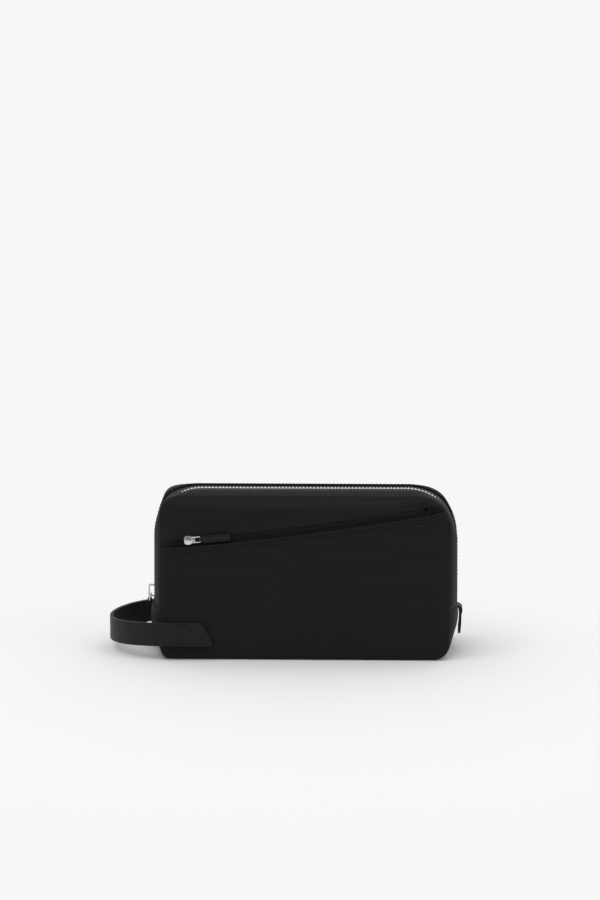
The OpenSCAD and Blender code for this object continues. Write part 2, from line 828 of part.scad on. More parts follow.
// Places along the pocket zip, from its left end to its right one
pocket_stations = concat(
    [-pocket_zip_half, pocket_slider_x - coil_part_half],
    [
        for (i = [0:9]) let (x = pocket_slider_x + coil_part_half)
            x + (pocket_zip_half - x) * i / 9
    ]
);

module pocket_tape(side) {
    loft([
        for (x = pocket_stations) [
            for (q = [[0, -1], [0, 1], [1, 1], [1, -1]])
                let (
                    off = q[0] == 0 ? pocket_tape_in + coil_part(x) : pocket_tape_out,
                    p = zip_xy(zip_angle(x), side * off)
                ) front_point(p[0], p[1], zip_d + side * q[1] * pocket_tape_t / 2)
        ]
    ]);
}

module pocket_zip_tape_upper() {
    color(tape_cloth) pocket_tape(1);
}

module pocket_zip_tape_lower() {
    color(tape_cloth) pocket_tape(-1);
}

coil_count = floor(2 * (pocket_zip_half - 3) / coil_pitch);
coil_tooth = coil_pitch * 0.42;

// One row of the coil, drawn as a rack: a spine on the tape with teeth towards the other row
module coil_row(side, shift) {
    start = 3 - pocket_zip_half;
    half = coil_tooth / 2;
    teeth = [
        for (k = [0:coil_count - 2])
            let (x = start + (k + shift + 0.5) * coil_pitch, c = coil_part(x))
                each [
                    zip_xy(zip_angle(x - half), side * (0.75 + c)),
                    zip_xy(zip_angle(x - half), side * (c - coil_reach)),
                    zip_xy(zip_angle(x + half), side * (c - coil_reach)),
                    zip_xy(zip_angle(x + half), side * (0.75 + c))
                ]
    ];
    spine = [
        for (x = reversed(pocket_stations))
            let (x1 = min(max(x, start), -start))
                zip_xy(zip_angle(x1), side * (pocket_tape_in - seam_gap + coil_part(x1)))
    ];
    on_front() translate([0, 0, zip_d]) linear_extrude(coil_h, center = true) polygon(concat(teeth, spine));
}

module pocket_zip_coil_upper() {
    color(tape_cloth) coil_row(1, 0);
}

module pocket_zip_coil_lower() {
    color(tape_cloth) coil_row(-1, 0.5);
}

// A clip over both tapes. Edge is the distance from the centre line to a tape's edge.
module pocket_stop(edge) {
    difference() {
        cube([pocket_stop_l, 2 * edge + 1.4, coil_h + 0.2], center = true);
        for (side = [-1, 1]) translate([0, side * (edge + 1.4), 0])
            cube([pocket_stop_l + 1, 3, pocket_tape_t + 0.2], center = true);
    }
}

module pocket_zip_stops() {
    color(nickel) for (end = [-1, 1])
        on_pocket_zip(end * (pocket_zip_half - pocket_stop_l / 2 - 0.1))
            pocket_stop(pocket_tape_in + (end < 0 ? coil_parting : 0));
}

small_channel = coil_h + 0.2;
small_seat = small_channel / 2 + small_plate_t;
small_bridge_l = 6.8;
small_bridge_h = 3.4;
small_bridge_wire = 0.9;
small_wire = 1;
small_link_l = 7;
small_link_w = 5.4;
small_pivot_x = small_bridge_l / 2 - small_bridge_wire - small_wire / 2 - pull_play;
small_pivot_z = small_seat + 1.2;

module pocket_slider_body() {
    color(nickel) on_pocket_zip(pocket_slider_x)
        slider_body(small_slider_l, small_slider_w, small_plate_t, small_channel, pocket_tape_t + 0.6, 0.5, 3);
}

module pocket_slider_bridge() {
    color(nickel) on_pocket_zip(pocket_slider_x)
        slider_bridge(small_bridge_l, small_bridge_h, small_bridge_wire, 1.8, small_seat + seam_gap);
}

module on_pocket_pull() {
    on_pocket_zip(pocket_slider_x) translate([small_pivot_x, 0, small_pivot_z]) children();
}

module pocket_pull_link() {
    color(nickel) on_pocket_pull() pull_link(small_wire, small_link_l, small_link_w);
}

module pocket_pull_tab() {
    color(leather) on_pocket_pull()
        pull_tab(small_wire, small_pull_l, small_link_w, small_link_l, small_pull_w);
}

// ---------- nodes ----------

base_gusset();
base_board();
back_panel();
front_panel_lower();
pocket_panel_lower();
zip_gusset_rear();
zip_tape_rear();
zip_teeth_rear();
zip_top_stops();
zip_bottom_stop();
lining_tub();
lining_back();
inner_pocket();
strap();
strap_lining();
holding_tab();
front_panel_upper();
pocket_panel_upper();
zip_gusset_front();
zip_tape_front();
zip_teeth_front();
lining_front();
pocket_zip_tape_upper();
pocket_zip_tape_lower();
pocket_zip_coil_upper();
pocket_zip_coil_lower();
pocket_zip_stops();
main_slider_body();
main_slider_bridge();
main_pull_link();
main_pull_tab();
pocket_slider_body();
pocket_slider_bridge();
pocket_pull_link();
pocket_pull_tab();
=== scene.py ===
# %% [markdown]
# # A zipped shaving kit bag
# The real bag is sewn from padded black cloth with leather trims and nickel zips. The measured solids
# arrive as a fixed frame. This script dresses them: every soft piece is made again as a fine mesh in
# the same place, and the metal pieces keep their shapes, get softer edges and a finish.

# %% Open the frame
import json
import math
import random

import bmesh
import bpy
import numpy as np
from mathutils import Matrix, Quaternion, Vector


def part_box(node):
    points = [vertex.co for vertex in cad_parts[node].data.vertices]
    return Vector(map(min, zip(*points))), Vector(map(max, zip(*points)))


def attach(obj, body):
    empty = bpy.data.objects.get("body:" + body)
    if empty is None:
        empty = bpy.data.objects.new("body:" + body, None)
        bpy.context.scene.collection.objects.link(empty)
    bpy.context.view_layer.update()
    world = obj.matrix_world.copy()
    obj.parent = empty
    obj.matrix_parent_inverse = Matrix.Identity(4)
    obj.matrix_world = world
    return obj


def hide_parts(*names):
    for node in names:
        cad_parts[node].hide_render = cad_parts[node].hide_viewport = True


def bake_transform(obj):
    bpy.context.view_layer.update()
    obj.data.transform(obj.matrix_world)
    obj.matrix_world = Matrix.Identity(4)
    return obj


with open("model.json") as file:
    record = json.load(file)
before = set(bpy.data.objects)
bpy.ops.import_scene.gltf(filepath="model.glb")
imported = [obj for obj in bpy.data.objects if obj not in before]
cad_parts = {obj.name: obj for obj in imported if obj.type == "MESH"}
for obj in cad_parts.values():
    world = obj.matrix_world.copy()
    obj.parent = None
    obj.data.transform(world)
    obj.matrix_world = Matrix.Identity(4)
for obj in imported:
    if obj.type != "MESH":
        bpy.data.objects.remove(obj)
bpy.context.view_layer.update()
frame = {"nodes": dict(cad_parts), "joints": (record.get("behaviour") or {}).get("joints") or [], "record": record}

MM = 0.001
random.seed(7)

# %% [markdown]
# ## Sizes that the pieces share
# A pattern cutter starts from the outline of the main panels. The sizes could be typed in again, but
# here they are read from the frame's boxes, so a piece made below always meets the piece beside it.
# Only the corners' radii are new: the soft bag has slumped a little at its right end.

# %% Shared sizes
panel_low, panel_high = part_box("back_panel")
tape_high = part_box("zip_tape_rear")[1]
PANEL_HW = panel_high.x        # half the width of the panels
SEAM_Z = panel_high.z          # their top seam
PANEL_Z = panel_low.z          # their lower edge
PANEL_MID = (SEAM_Z + PANEL_Z) / 2
PANEL_T = 3.0 * MM
SEAM_GAP = 0.05 * MM           # between a panel and the strip sewn to it
ZIP_HW = tape_high.x           # half the width of the zip's arch
ZIP_Z = tape_high.z            # its top
FOLD_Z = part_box("front_panel_lower")[1].z      # the front leans forward about this height
TOP_HALF = panel_low.y + PANEL_T               # half the bag's depth at the top seam
BASE_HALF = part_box("base_gusset")[1].y + PANEL_T + SEAM_GAP    # and on the table
LEAN = math.atan((BASE_HALF - TOP_HALF) / SEAM_Z)              # how far the panels lean inwards
PANEL_R_LEFT, PANEL_R_RIGHT = 11 * MM, 23 * MM                 # top corners of the panels
BASE_R_LEFT, BASE_R = 7 * MM, 12 * MM                          # bottom corners, left and right
ZIP_R_LEFT, ZIP_R_RIGHT = 39 * MM, 42 * MM                     # corners of the zip's arch


def half_depth(z):
    """Half the bag's depth at height z."""
    return BASE_HALF - z * (BASE_HALF - TOP_HALF) / SEAM_Z


def smooth(t):
    """A soft step from 0 to 1."""
    t = np.clip(t, 0, 1)
    return t * t * (3 - 2 * t)


print("panel half width %.4f, seam %.4f, lean %.2f degrees" % (PANEL_HW, SEAM_Z, math.degrees(LEAN)))

# %% [markdown]
# ## Meshes from grids
# Cloth and leather are sheets with a little thickness. A plane with a thickness modifier could stand
# for them, but its rim is hard to steer. Here a grid of points is worked out for each face and the rim
# between them is closed, so both faces and every edge are exactly where the formula puts them.

# %% Grids
def grid_faces(m, n, first=0):
    """Faces of a grid of m rows of n points. The first point has the number first."""
    return [
        (first + i * n + j, first + (i + 1) * n + j, first + (i + 1) * n + j + 1, first + i * n + j + 1)
        for i in range(m - 1)
        for j in range(n - 1)
    ]


def rim_of(m, n):
    """Row and column of each point on the grid's rim, in order round it."""
    return (
        [(0, j) for j in range(n)]
        + [(i, n - 1) for i in range(1, m)]
        + [(m - 1, j) for j in range(n - 2, -1, -1)]
        + [(i, 0) for i in range(m - 2, 0, -1)]
    )


print("3 rows of 4 points:", len(grid_faces(3, 4)), "faces,", len(rim_of(3, 4)), "points on the rim")

# %% [markdown]
# ## From points to a piece
# A cut or folded edge is never sharp. After the points are joined, the edges where the surface turns
# strongly get a bevel. What still turns sharply after that is shaded as a crisp edge.

# %% Pieces
BEVEL_ABOVE = 50               # degrees of turn that get a bevel
CRISP_ABOVE = 40               # degrees of turn that are shaded as an edge


def folds(bm, degrees):
    """The edges where the surface turns by more than this."""
    return [e for e in bm.edges if len(e.link_faces) == 2 and e.calc_face_angle() > math.radians(degrees)]


def show(name, mesh, material):
    """Puts a finished mesh in the scene as one piece."""
    mesh.materials.append(material)
    piece = bpy.data.objects.new(name, mesh)
    bpy.context.scene.collection.objects.link(piece)
    return piece


def new_piece(name, verts, faces, material, slot, bevel=0, segments=3):
    mesh = bpy.data.meshes.new(name)
    mesh.from_pydata([tuple(v) for v in verts], [], faces)
    bm = bmesh.new()
    bm.from_mesh(mesh)
    bmesh.ops.remove_doubles(bm, verts=bm.verts, dist=1e-7)
    bmesh.ops.recalc_face_normals(bm, faces=bm.faces)
    if bevel:
        bmesh.ops.bevel(
            bm, geom=folds(bm, BEVEL_ABOVE), offset=bevel, segments=segments,
            profile=0.5, affect="EDGES", clamp_overlap=True,
        )
    crisp = set(folds(bm, CRISP_ABOVE))
    for f in bm.faces:
        f.smooth = True
    for e in bm.edges:
        e.smooth = e not in crisp
    bm.to_mesh(mesh)
    bm.free()
    return show(name, mesh, material)


def slab(name, outer, inner, material, slot, **options):
    """A sheet with thickness: two grids of points of the same size, joined round the rim."""
    m, n = outer.shape[:2]
    verts = np.concatenate([outer.reshape(-1, 3), inner.reshape(-1, 3)])
    faces = grid_faces(m, n) + [f[::-1] for f in grid_faces(m, n, m * n)]
    rim = [i * n + j for i, j in rim_of(m, n)]
    faces += [(a, b, b + m * n, a + m * n) for a, b in zip(rim, rim[1:] + rim[:1])]
    return new_piece(name, verts, faces, material, slot, **options)


print("edges that turn by more than", BEVEL_ABOVE, "degrees get a bevel")

# %% [markdown]
# ## Camera
# The bag stands on a pale table and is seen from the front, a little from above, through a long lens.
# The lens is worked out from the distance and from how tall a stretch the picture takes in, so the
# distance can change without changing the bag's size in the picture.

# %% Camera
CAMERA_DISTANCE = 3.0
CAMERA_ELEVATION = math.radians(14)
CAMERA_YAW = math.radians(1.2)
PICTURE_HEIGHT = 0.776         # how tall a stretch the picture shows at the bag
LOOK_AT = Vector((0, 0, 0.07))
LOOK_AT_RIGHT = 0.0052         # how far right of the picture's middle that point lies
LOOK_AT_DOWN = 0.1017          # how far below it
SENSOR_WIDTH = 36              # millimetres, as in a full-frame camera

camera = bpy.data.objects.new("camera", bpy.data.cameras.new("camera"))
bpy.context.scene.collection.objects.link(camera)
bpy.context.scene.camera = camera
away = Vector((
    math.sin(CAMERA_YAW) * math.cos(CAMERA_ELEVATION),
    -math.cos(CAMERA_YAW) * math.cos(CAMERA_ELEVATION),
    math.sin(CAMERA_ELEVATION),
))
camera.location = LOOK_AT + away * CAMERA_DISTANCE
camera.rotation_mode = "QUATERNION"
turn_right = Quaternion((0, 1, 0), math.atan2(LOOK_AT_RIGHT, CAMERA_DISTANCE))
turn_up = Quaternion((1, 0, 0), math.atan2(LOOK_AT_DOWN, CAMERA_DISTANCE))
camera.rotation_quaternion = (-away).to_track_quat("-Z", "Y") @ turn_right @ turn_up
camera.data.sensor_width = SENSOR_WIDTH
camera.data.lens = SENSOR_WIDTH * CAMERA_DISTANCE / PICTURE_HEIGHT
camera.data.clip_end = 50
print("lens %.1f mm" % camera.data.lens)


# %% [markdown]
# ## Materials
# Each finish is a small tree of nodes. It could be drawn in the shader editor. Here the helper below
# makes a node, sets its values and links its inputs in one line, which keeps each finish short enough
# to read. Colours come from the frame's record, so the solids and the finished bag agree.

# %% Material helpers
class Finish:
    """One material, built from a Principled shader and a few texture nodes."""

    def __init__(self, name, roughness, metallic=0.0, **fixed):
        self.material = bpy.data.materials.new(name)
        self.material.use_nodes = True
        self.tree = self.material.node_tree
        self.shader = self.tree.nodes["Principled BSDF"]
        self.shader.inputs["Roughness"].default_value = roughness
        self.shader.inputs["Metallic"].default_value = metallic
        for socket, value in fixed.items():
            self.shader.inputs[socket.replace("_", " ")].default_value = value

    def node(self, kind, inputs=None, **settings):
        """Makes a node. An input that is another node's socket is linked, any other is set."""
        made = self.tree.nodes.new("ShaderNode" + kind)
        for key, value in settings.items():
            setattr(made, key, value)
        for socket, value in (inputs or {}).items():
            if isinstance(value, bpy.types.NodeSocket):
                self.tree.links.new(value, made.inputs[socket])
            else:
                made.inputs[socket].default_value = value
        return made

    def place(self, scale, rotation=(0, 0, 0)):
        """The piece's own coordinates, scaled: a larger number makes a finer pattern that way."""
        where = self.node("TexCoord").outputs["Object"]
        return self.node("Mapping", {"Vector": where, "Scale": scale, "Rotation": rotation}).outputs["Vector"]

    def mix_colours(self, factor, dark, light):
        ramp = self.node("ValToRGB", {"Fac": factor})
        ramp.color_ramp.elements[0].position = 0.3
        ramp.color_ramp.elements[0].color = (*dark, 1)
        ramp.color_ramp.elements[1].position = 0.7
        ramp.color_ramp.elements[1].color = (*light, 1)
        return ramp.outputs["Color"]

    def bump(self, height, distance, strength=1.0, under=None):
        """Turns a pattern into small hills, on top of those of under."""
        inputs = {"Height": height, "Distance": distance, "Strength": strength}
        if under is not None:
            inputs["Normal"] = under
        return self.node("Bump", inputs).outputs["Normal"]

    def link(self, socket, value):
        self.tree.links.new(value, self.shader.inputs[socket])


def colour_of(slot):
    rgb = next(m["base_color"] for m in frame["record"]["materials"] if m["slot"] == slot)
    return np.array(rgb[:3])


# %% [markdown]
# ### Cloth
# The shell is a tight synthetic cloth whose threads show as fine sideways lines. Real threads would be
# far too many to model, so a noise that is stretched along the bag draws the grain, a finer one gives
# the weave, and both also push the surface in and out a little as bump.

# %% Shell cloth
def make_cloth():
    rgb = colour_of("shell_cloth")
    f = Finish("shell_cloth", 0.75, Sheen_Weight=0.04, Sheen_Roughness=0.4, Specular_IOR_Level=0.16)
    lines, threads = f.place((14, 60, 900)), f.place((2600, 2600, 3400))
    grain = f.node("TexNoise", {"Vector": lines, "Scale": 1.0, "Detail": 3.0}).outputs["Fac"]
    weave = f.node("TexNoise", {"Vector": threads, "Scale": 1.0, "Detail": 1.0}).outputs["Fac"]
    f.link("Base Color", f.mix_colours(grain, tuple(rgb * 0.62), tuple(rgb * 0.9)))
    f.link("Normal", f.bump(weave, 0.00006, 0.6, f.bump(grain, 0.00022, 0.55)))
    return f.material


cloth = make_cloth()
print("made", cloth.name)

# %% [markdown]
# ### Leather
# The strap, the tab and the pulls are cut from dull black leather. Its pebbled grain comes from cells,
# and the soft creases between patches come from a slower noise that also shades the colour.

# %% Leather
def make_leather(name, slot, lift=0.7, roughness=0.5):
    rgb = colour_of(slot) * lift
    f = Finish(name, roughness, Specular_IOR_Level=0.22)
    place = f.place((1, 1, 1))
    cells = f.node("TexVoronoi", {"Vector": place, "Scale": 1300.0}, feature="DISTANCE_TO_EDGE")
    creases = f.node("TexNoise", {"Vector": place, "Scale": 260.0, "Detail": 4.0}).outputs["Fac"]
    f.link("Base Color", f.mix_colours(creases, tuple(rgb * 0.75), tuple(rgb * 1.3)))
    pebbles = f.bump(cells.outputs["Distance"], 0.0001, 0.3)
    f.link("Normal", f.bump(creases, 0.00015, 0.35, pebbles))
    return f.material


leather = make_leather("strap_leather", "strap_leather")
under_leather = make_leather("strap_under_leather", "strap_lining", 1.1, 0.6)
pull_leather = make_leather("pull_leather", "pull_leather")
print("made", leather.name, under_leather.name, pull_leather.name)

# %% [markdown]
# ### Thread and zip tape
# The thread is twisted, so slanted waves run across each stitch. Zip tape is woven in a herringbone:
# two crossed waves give it. The pocket zip lies deep in the shade of a fold, so its tape and its nylon
# coil get painted shade, a darker colour, and no pale line shows in the opening.

# %% Thread and tape
def make_thread():
    f = Finish("black_thread", 0.8, Specular_IOR_Level=0.1)
    twist = f.node("TexWave", {"Vector": f.place((1, 1, 1), (0, 0.7, 0.6)), "Scale": 900.0}).outputs["Fac"]
    f.link("Base Color", f.mix_colours(twist, (0.002, 0.002, 0.002), (0.006, 0.006, 0.006)))
    f.link("Normal", f.bump(twist, 0.00008, 0.5))
    return f.material


def make_tape(name, slot, lift=1.0):
    # lift scales the colour; the pocket zip's copies use it for painted shade
    rgb = colour_of(slot) * lift
    f = Finish(name, 0.8, Sheen_Weight=0.1, Specular_IOR_Level=0.2)
    one = f.node("TexWave", {"Vector": f.place((1, 1, 1), (0, 0.78, 0)), "Scale": 420.0}).outputs["Fac"]
    two = f.node("TexWave", {"Vector": f.place((1, 1, 1), (0, -0.78, 0.4)), "Scale": 420.0}).outputs["Fac"]
    both = f.node("Math", {0: one, 1: two}, operation="MULTIPLY").outputs["Value"]
    f.link("Base Color", f.mix_colours(both, tuple(rgb * 0.6), tuple(rgb * 1.9)))
    f.link("Normal", f.bump(both, 0.00025, 0.7))
    return f.material


# painted shade: the pocket zip's tape and coil are coloured darker than the main tape, for the shade of the fold
# they lie in
PAINTED_SHADE = 0.3                   # how dark the hidden tape and coil are beside the main tape
thread = make_thread()
tape_cloth = make_tape("zip_tape", "zip_tape")
# painted shade: darker copies of the tape finish for the pocket zip's coil and its hidden tape
painted_shade_coil = make_tape("zip_coil", "coil", PAINTED_SHADE)
painted_shade_tape = make_tape("shaded_tape", "zip_tape", PAINTED_SHADE)
print("made", thread.name, tape_cloth.name, painted_shade_coil.name, painted_shade_tape.name)

# %% [markdown]
# ### Lining
# The lining is a thin, slightly shiny cloth that ripples where it isn't held. The large ripples are
# modelled further below. Here a slow noise adds the small ones and a fine one adds the weave.

# %% Lining cloth
def make_lining():
    rgb = colour_of("lining")
    f = Finish("lining_cloth", 0.55, Sheen_Weight=0.2, Specular_IOR_Level=0.4)
    ripple = f.node("TexNoise", {"Vector": f.place((35, 35, 50)), "Scale": 1.0, "Detail": 2.0}).outputs["Fac"]
    weave = f.node("TexNoise", {"Vector": f.place((2400, 2400, 2400)), "Scale": 1.0}).outputs["Fac"]
    f.link("Base Color", f.mix_colours(ripple, tuple(rgb * 0.85), tuple(rgb * 1.15)))
    f.link("Normal", f.bump(weave, 0.00004, 0.5, f.bump(ripple, 0.0012, 0.5)))
    return f.material


lining_cloth = make_lining()
print("made", lining_cloth.name)

# %% [markdown]
# ### Nickel and board
# Polished nickel is nearly a mirror with faint marks from polishing, so a metal shader with a little
# noise in colour and bump is enough. The two wire links are so small and round that the frame's own
# solids stay and only get this finish. So does the board in the base, which is stiff grey card.

# %% Nickel and board
def make_nickel(name, slot, roughness):
    rgb = colour_of(slot)
    f = Finish(name, roughness, 1.0)
    place = f.place((900, 900, 250))
    marks = f.node("TexNoise", {"Vector": place, "Scale": 1.0, "Detail": 4.0}).outputs["Fac"]
    f.link("Base Color", f.mix_colours(marks, tuple(rgb * 0.88), tuple(rgb * 1.08)))
    f.link("Normal", f.bump(marks, 0.00002, 0.25))
    return f.material


def make_board():
    rgb = colour_of("base_board")
    f = Finish("base_board", 0.8)
    place = f.place((200, 60, 200))
    fibres = f.node("TexNoise", {"Vector": place, "Scale": 1.0, "Detail": 3.0}).outputs["Fac"]
    f.link("Base Color", f.mix_colours(fibres, tuple(rgb * 0.8), tuple(rgb * 1.2)))
    return f.material


def dress(node, material):
    """Gives a kept solid its finish."""
    mesh = frame["nodes"][node].data
    mesh.materials.clear()
    mesh.materials.append(material)


nickel = make_nickel("polished_nickel", "hardware", 0.18)
teeth_nickel = make_nickel("teeth_nickel", "zip_teeth", 0.28)
for wire_link in ("main_pull_link", "pocket_pull_link"):
    dress(wire_link, nickel)
dress("base_board", make_board())
print("finishes:", len(bpy.data.materials))

# %% [markdown]
# ## Cloth that crosses the front fold
# When the mouth opens, the front leans forward while the lower part of the bag stays. Cloth bends
# softly there. Here the pieces of the front stand in for their solids and are fixed where they are
# made; no bend is set up for them.

# %% Placing the pieces
slider_low, slider_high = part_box("main_slider_body")


def follow_front(piece, *nodes):
    """The piece stands in for these nodes and is fixed where it is made."""
    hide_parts(*nodes)
    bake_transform(piece)
    print(piece.name, len(piece.data.vertices), "points, bends with the mouth")


def follow(piece, body, *nodes):
    """The piece stands in for these nodes, if any, and moves with one body."""
    if nodes:
        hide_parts(*nodes)
    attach(piece, body)
    print(piece.name, len(piece.data.vertices), "points, on", body)


# %% [markdown]
# ## Outline of the front and back panels
# The panels are cut with round corners. A boolean or a curve could cut them, but a grid whose columns
# end on the outline needs no cutting: each column simply runs from the lower edge to the upper one.
# The columns crowd together in the corners, where the outline turns.

# %% Panel outline
def corner_cut(past, r):
    """How far a rounded corner of radius r falls back, this far past its start."""
    c = np.maximum(0, past)
    return r - np.sqrt(np.maximum(0, r * r - c * c))


def panel_top(x):
    r = np.where(x < 0, PANEL_R_LEFT, PANEL_R_RIGHT)
    return SEAM_Z - corner_cut(np.abs(x) - (PANEL_HW - r), r)


def panel_bottom(x):
    r = np.where(x < 0, BASE_R_LEFT, BASE_R)
    return PANEL_Z + corner_cut(np.abs(x) - (PANEL_HW - r), r)


def panel_columns(corner=14, middle=60):
    turn = np.linspace(0, math.pi / 2, corner, endpoint=False)
    left = -PANEL_HW + BASE_R * (1 - np.cos(turn))
    right = PANEL_HW - PANEL_R_RIGHT * (1 - np.cos(turn[::-1]))
    straight = np.linspace(BASE_R - PANEL_HW, PANEL_HW - PANEL_R_RIGHT, middle)[:-1]
    return np.concatenate([left, straight, right])


def rows_between(low, high, rows, xs):
    """Grid points x, z with one column at each x, from low(x) up to high(x)."""
    lows, highs = low(xs), high(xs)
    return np.repeat(xs[:, None], len(rows), axis=1), lows[:, None] + (highs - lows)[:, None] * rows[None, :]


print("columns in a panel:", len(panel_columns()))

# %% [markdown]
# ## Face of the panels
# Each panel is a layer of foam between two cloths. Its face is nearly flat with a slight crown, and it
# rolls back into the seam all round. High powers of the distance from the middle give that form: they
# stay near zero over the face and rise steeply at the rim.

# %% Panel face
ROLL = 2.0 * MM                # how deep the rim lies in the seam
SIDE_ROLL, TOP_ROLL = 50, 32   # powers: a higher one makes a tighter roll
PUFF = 1.0 * MM                # the crown's height
PUFF_LEVEL = 0.55              # the share of the crown that lies inside the panel's plane


def rolled(x, z):
    """How far the face lies back from the panel's plane."""
    u = np.clip(np.abs(x) / PANEL_HW, 0, 1)
    rim = np.where(z > PANEL_MID, panel_top(x), panel_bottom(x))
    v = np.clip(np.abs((z - PANEL_MID) / (rim - PANEL_MID)), 0, 1)
    face = (1 - u**SIDE_ROLL) * (1 - v**TOP_ROLL)
    puff = (1 - u**4) * (1 - v**4)
    return ROLL * (1 - face) - PUFF * (puff - PUFF_LEVEL) * face


def crowded(count, power=1.7):
    """Steps from 0 to 1 that crowd towards both ends."""
    t = np.linspace(-1, 1, count)
    return 0.5 + 0.5 * np.sign(t) * (1 - (1 - np.abs(t)) ** power)


print("middle of the face: %.2f mm out" % (-rolled(np.array(0.0), np.array(PANEL_MID)) / MM))

# %% [markdown]
# ## The pocket's lip
# The pocket's top edge, its lip, rises to the right in one long curve: an arc of a very large circle.
# It is given along the leaning front, so a height on the bag is that length times the lean's cosine.

# %% The lip
LIP_R = 2.350                  # radius of the long arc
LIP_DROP = 29.3 * MM           # from the top seam down to the lip, at the bag's middle
LIP_SLOPE = math.radians(7.5)  # its slope there
LIP_CORNER_R = 6 * MM          # the pocket's rounded top left corner
ZIP_RISE = 4.9 * MM            # from the lip up to the middle of the pocket's zip
LIP_CENTRE_X = -LIP_R * math.sin(LIP_SLOPE)
LIP_CENTRE_S = SEAM_Z / math.cos(LEAN) - LIP_DROP + LIP_R * math.cos(LIP_SLOPE)


def arc_s(x):
    """The lip's height at x, measured along the leaning front."""
    return LIP_CENTRE_S - np.sqrt(LIP_R * LIP_R - (x - LIP_CENTRE_X) ** 2)


def lip_z(x):
    drop = corner_cut(LIP_CORNER_R - (x + PANEL_HW), LIP_CORNER_R)
    return np.minimum((arc_s(x) - drop) * math.cos(LEAN), panel_top(x))


print("the lip rises from %.1f to %.1f mm" % (lip_z(-0.9 * PANEL_HW) / MM, lip_z(0.9 * PANEL_HW) / MM))

# %% [markdown]
# ## The two panels
# Above the pocket zip the front's cloth stands out over the zip's upper tape and folds in just above
# the coil, so it hides the tape as on the real bag. A separate flap could do this. As the cloth is one
# piece there, the same grid is lifted instead, with more rows so that the fold stays crisp.

# %% Front and back panel
COVER = 3.3 * MM               # how far the cloth stands over the tape
COVER_START = 0.9 * MM         # from the zip's middle up to the fold
COVER_RISE = 1.2 * MM          # height over which it folds in


def zip_cover(x, z):
    """How far the front is lifted: full just above the zip, less higher up, nothing at the seams."""
    above = z / math.cos(LEAN) - arc_s(x) - ZIP_RISE
    fold = smooth((above - COVER_START) / COVER_RISE)
    fade = 1 - 0.6 * smooth((above - 14 * MM) / (26 * MM))
    ends = smooth((PANEL_HW - np.abs(x)) / (14 * MM)) * smooth((panel_top(x) - z) / (8 * MM))
    return COVER * fold * fade * ends


def make_panel(name, side, rows, lift=lambda x, z: 0 * x):
    xx, zz = rows_between(panel_bottom, panel_top, rows, panel_columns())
    outer = np.stack([xx, side * (half_depth(zz) - rolled(xx, zz) + lift(xx, zz)), zz], axis=-1)
    inner = np.stack([xx, side * (half_depth(zz) - PANEL_T), zz], axis=-1)
    return slab(name, outer, inner, cloth, "shell_cloth")


front_cloth = make_panel("front_cloth", -1, np.linspace(0, 1, 150), zip_cover)
follow_front(front_cloth, "front_panel_lower", "front_panel_upper")
back_cloth = make_panel("back_cloth", 1, crowded(56))
follow(back_cloth, "bag", "back_panel")

# %% [markdown]
# ## Pocket panel
# The pocket is a second, thinner panel laid over the front and caught in the same seams. Its top edge is
# folded over and sewn down with two rows of stitches, so that band is a little thicker and each row
# pulls a shallow groove into it. Band and grooves are added to the face's formula, with rows of points
# close enough together to carry them.

# %% Face of the pocket
POCKET_T = 1.8 * MM
POCKET_ROOM, LIP_ROOM = 0.4 * MM, 3.0 * MM     # room behind the pocket at its foot and at its lip
HEM_ROWS = (2.4 * MM, 5.0 * MM)                # the two rows of stitches, below the lip
HEM_DEPTH = 7.0 * MM
HEM_EXTRA = 0.55 * MM                          # extra thickness of the folded band
GROOVE, GROOVE_HALF = 0.4 * MM, 0.55 * MM      # depth and half width of a stitched groove


def pocket_room(x, z):
    side = 1 - np.clip(np.abs(x) / PANEL_HW, 0, 1) ** 16
    up = np.clip(z / (arc_s(x) * math.cos(LEAN)), 0, 1)
    return POCKET_ROOM + (LIP_ROOM - POCKET_ROOM) * side * up**1.5


def hem(x, z):
    """The extra thickness of the folded band, with a groove along each row of stitches."""
    below = lip_z(x) - z
    band = HEM_EXTRA * smooth((HEM_DEPTH + 1.2 * MM - below) / (1.6 * MM))
    grooves = sum(GROOVE * np.exp(-(((below - row) / GROOVE_HALF) ** 2)) for row in HEM_ROWS)
    return band - grooves


def pocket_face(x, z, lift=0.0):
    """A point of the pocket's outer face, or lifted off it by lift."""
    y = -(half_depth(z) - rolled(x, z)) - pocket_room(x, z) - POCKET_T - hem(x, z) - lift
    return np.stack([x, y, z], axis=-1)


print("room behind the lip %.1f mm" % (pocket_room(0.0, float(lip_z(0.0))) / MM))

# %% Pocket panel
BAND = 0.1                     # the share of the pocket's height that the hem needs fine rows for
lip_turn = np.linspace(0, math.pi / 2, 9, endpoint=False)
plain_columns = panel_columns(18, 60)
pocket_columns = np.concatenate([
    -PANEL_HW + LIP_CORNER_R * (1 - np.cos(lip_turn)),
    plain_columns[plain_columns > -PANEL_HW + LIP_CORNER_R],
])
pocket_rows = 1 - np.concatenate([np.linspace(0, BAND, 26), np.linspace(BAND, 1, 42)[1:]])[::-1]
outer = pocket_face(*rows_between(panel_bottom, lip_z, pocket_rows, pocket_columns))
inner = outer + np.array([0, POCKET_T, 0])
pocket_cloth = slab("pocket_cloth", outer, inner, cloth, "shell_cloth", bevel=0.8 * MM, segments=4)
follow_front(pocket_cloth, "pocket_panel_lower", "pocket_panel_upper")

# %% [markdown]
# ## One small shape many times
# Teeth and stitches repeat by the hundred. Each could be an object of its own, or an instance. Here the
# small mesh is copied to a list of places in one go, which gives one light object in place of hundreds.

# %% Repeated shapes
def mesh_arrays(bm):
    bm.verts.index_update()
    verts = np.array([v.co for v in bm.verts])
    faces = [[v.index for v in f.verts] for f in bm.faces]
    bm.free()
    return verts, faces


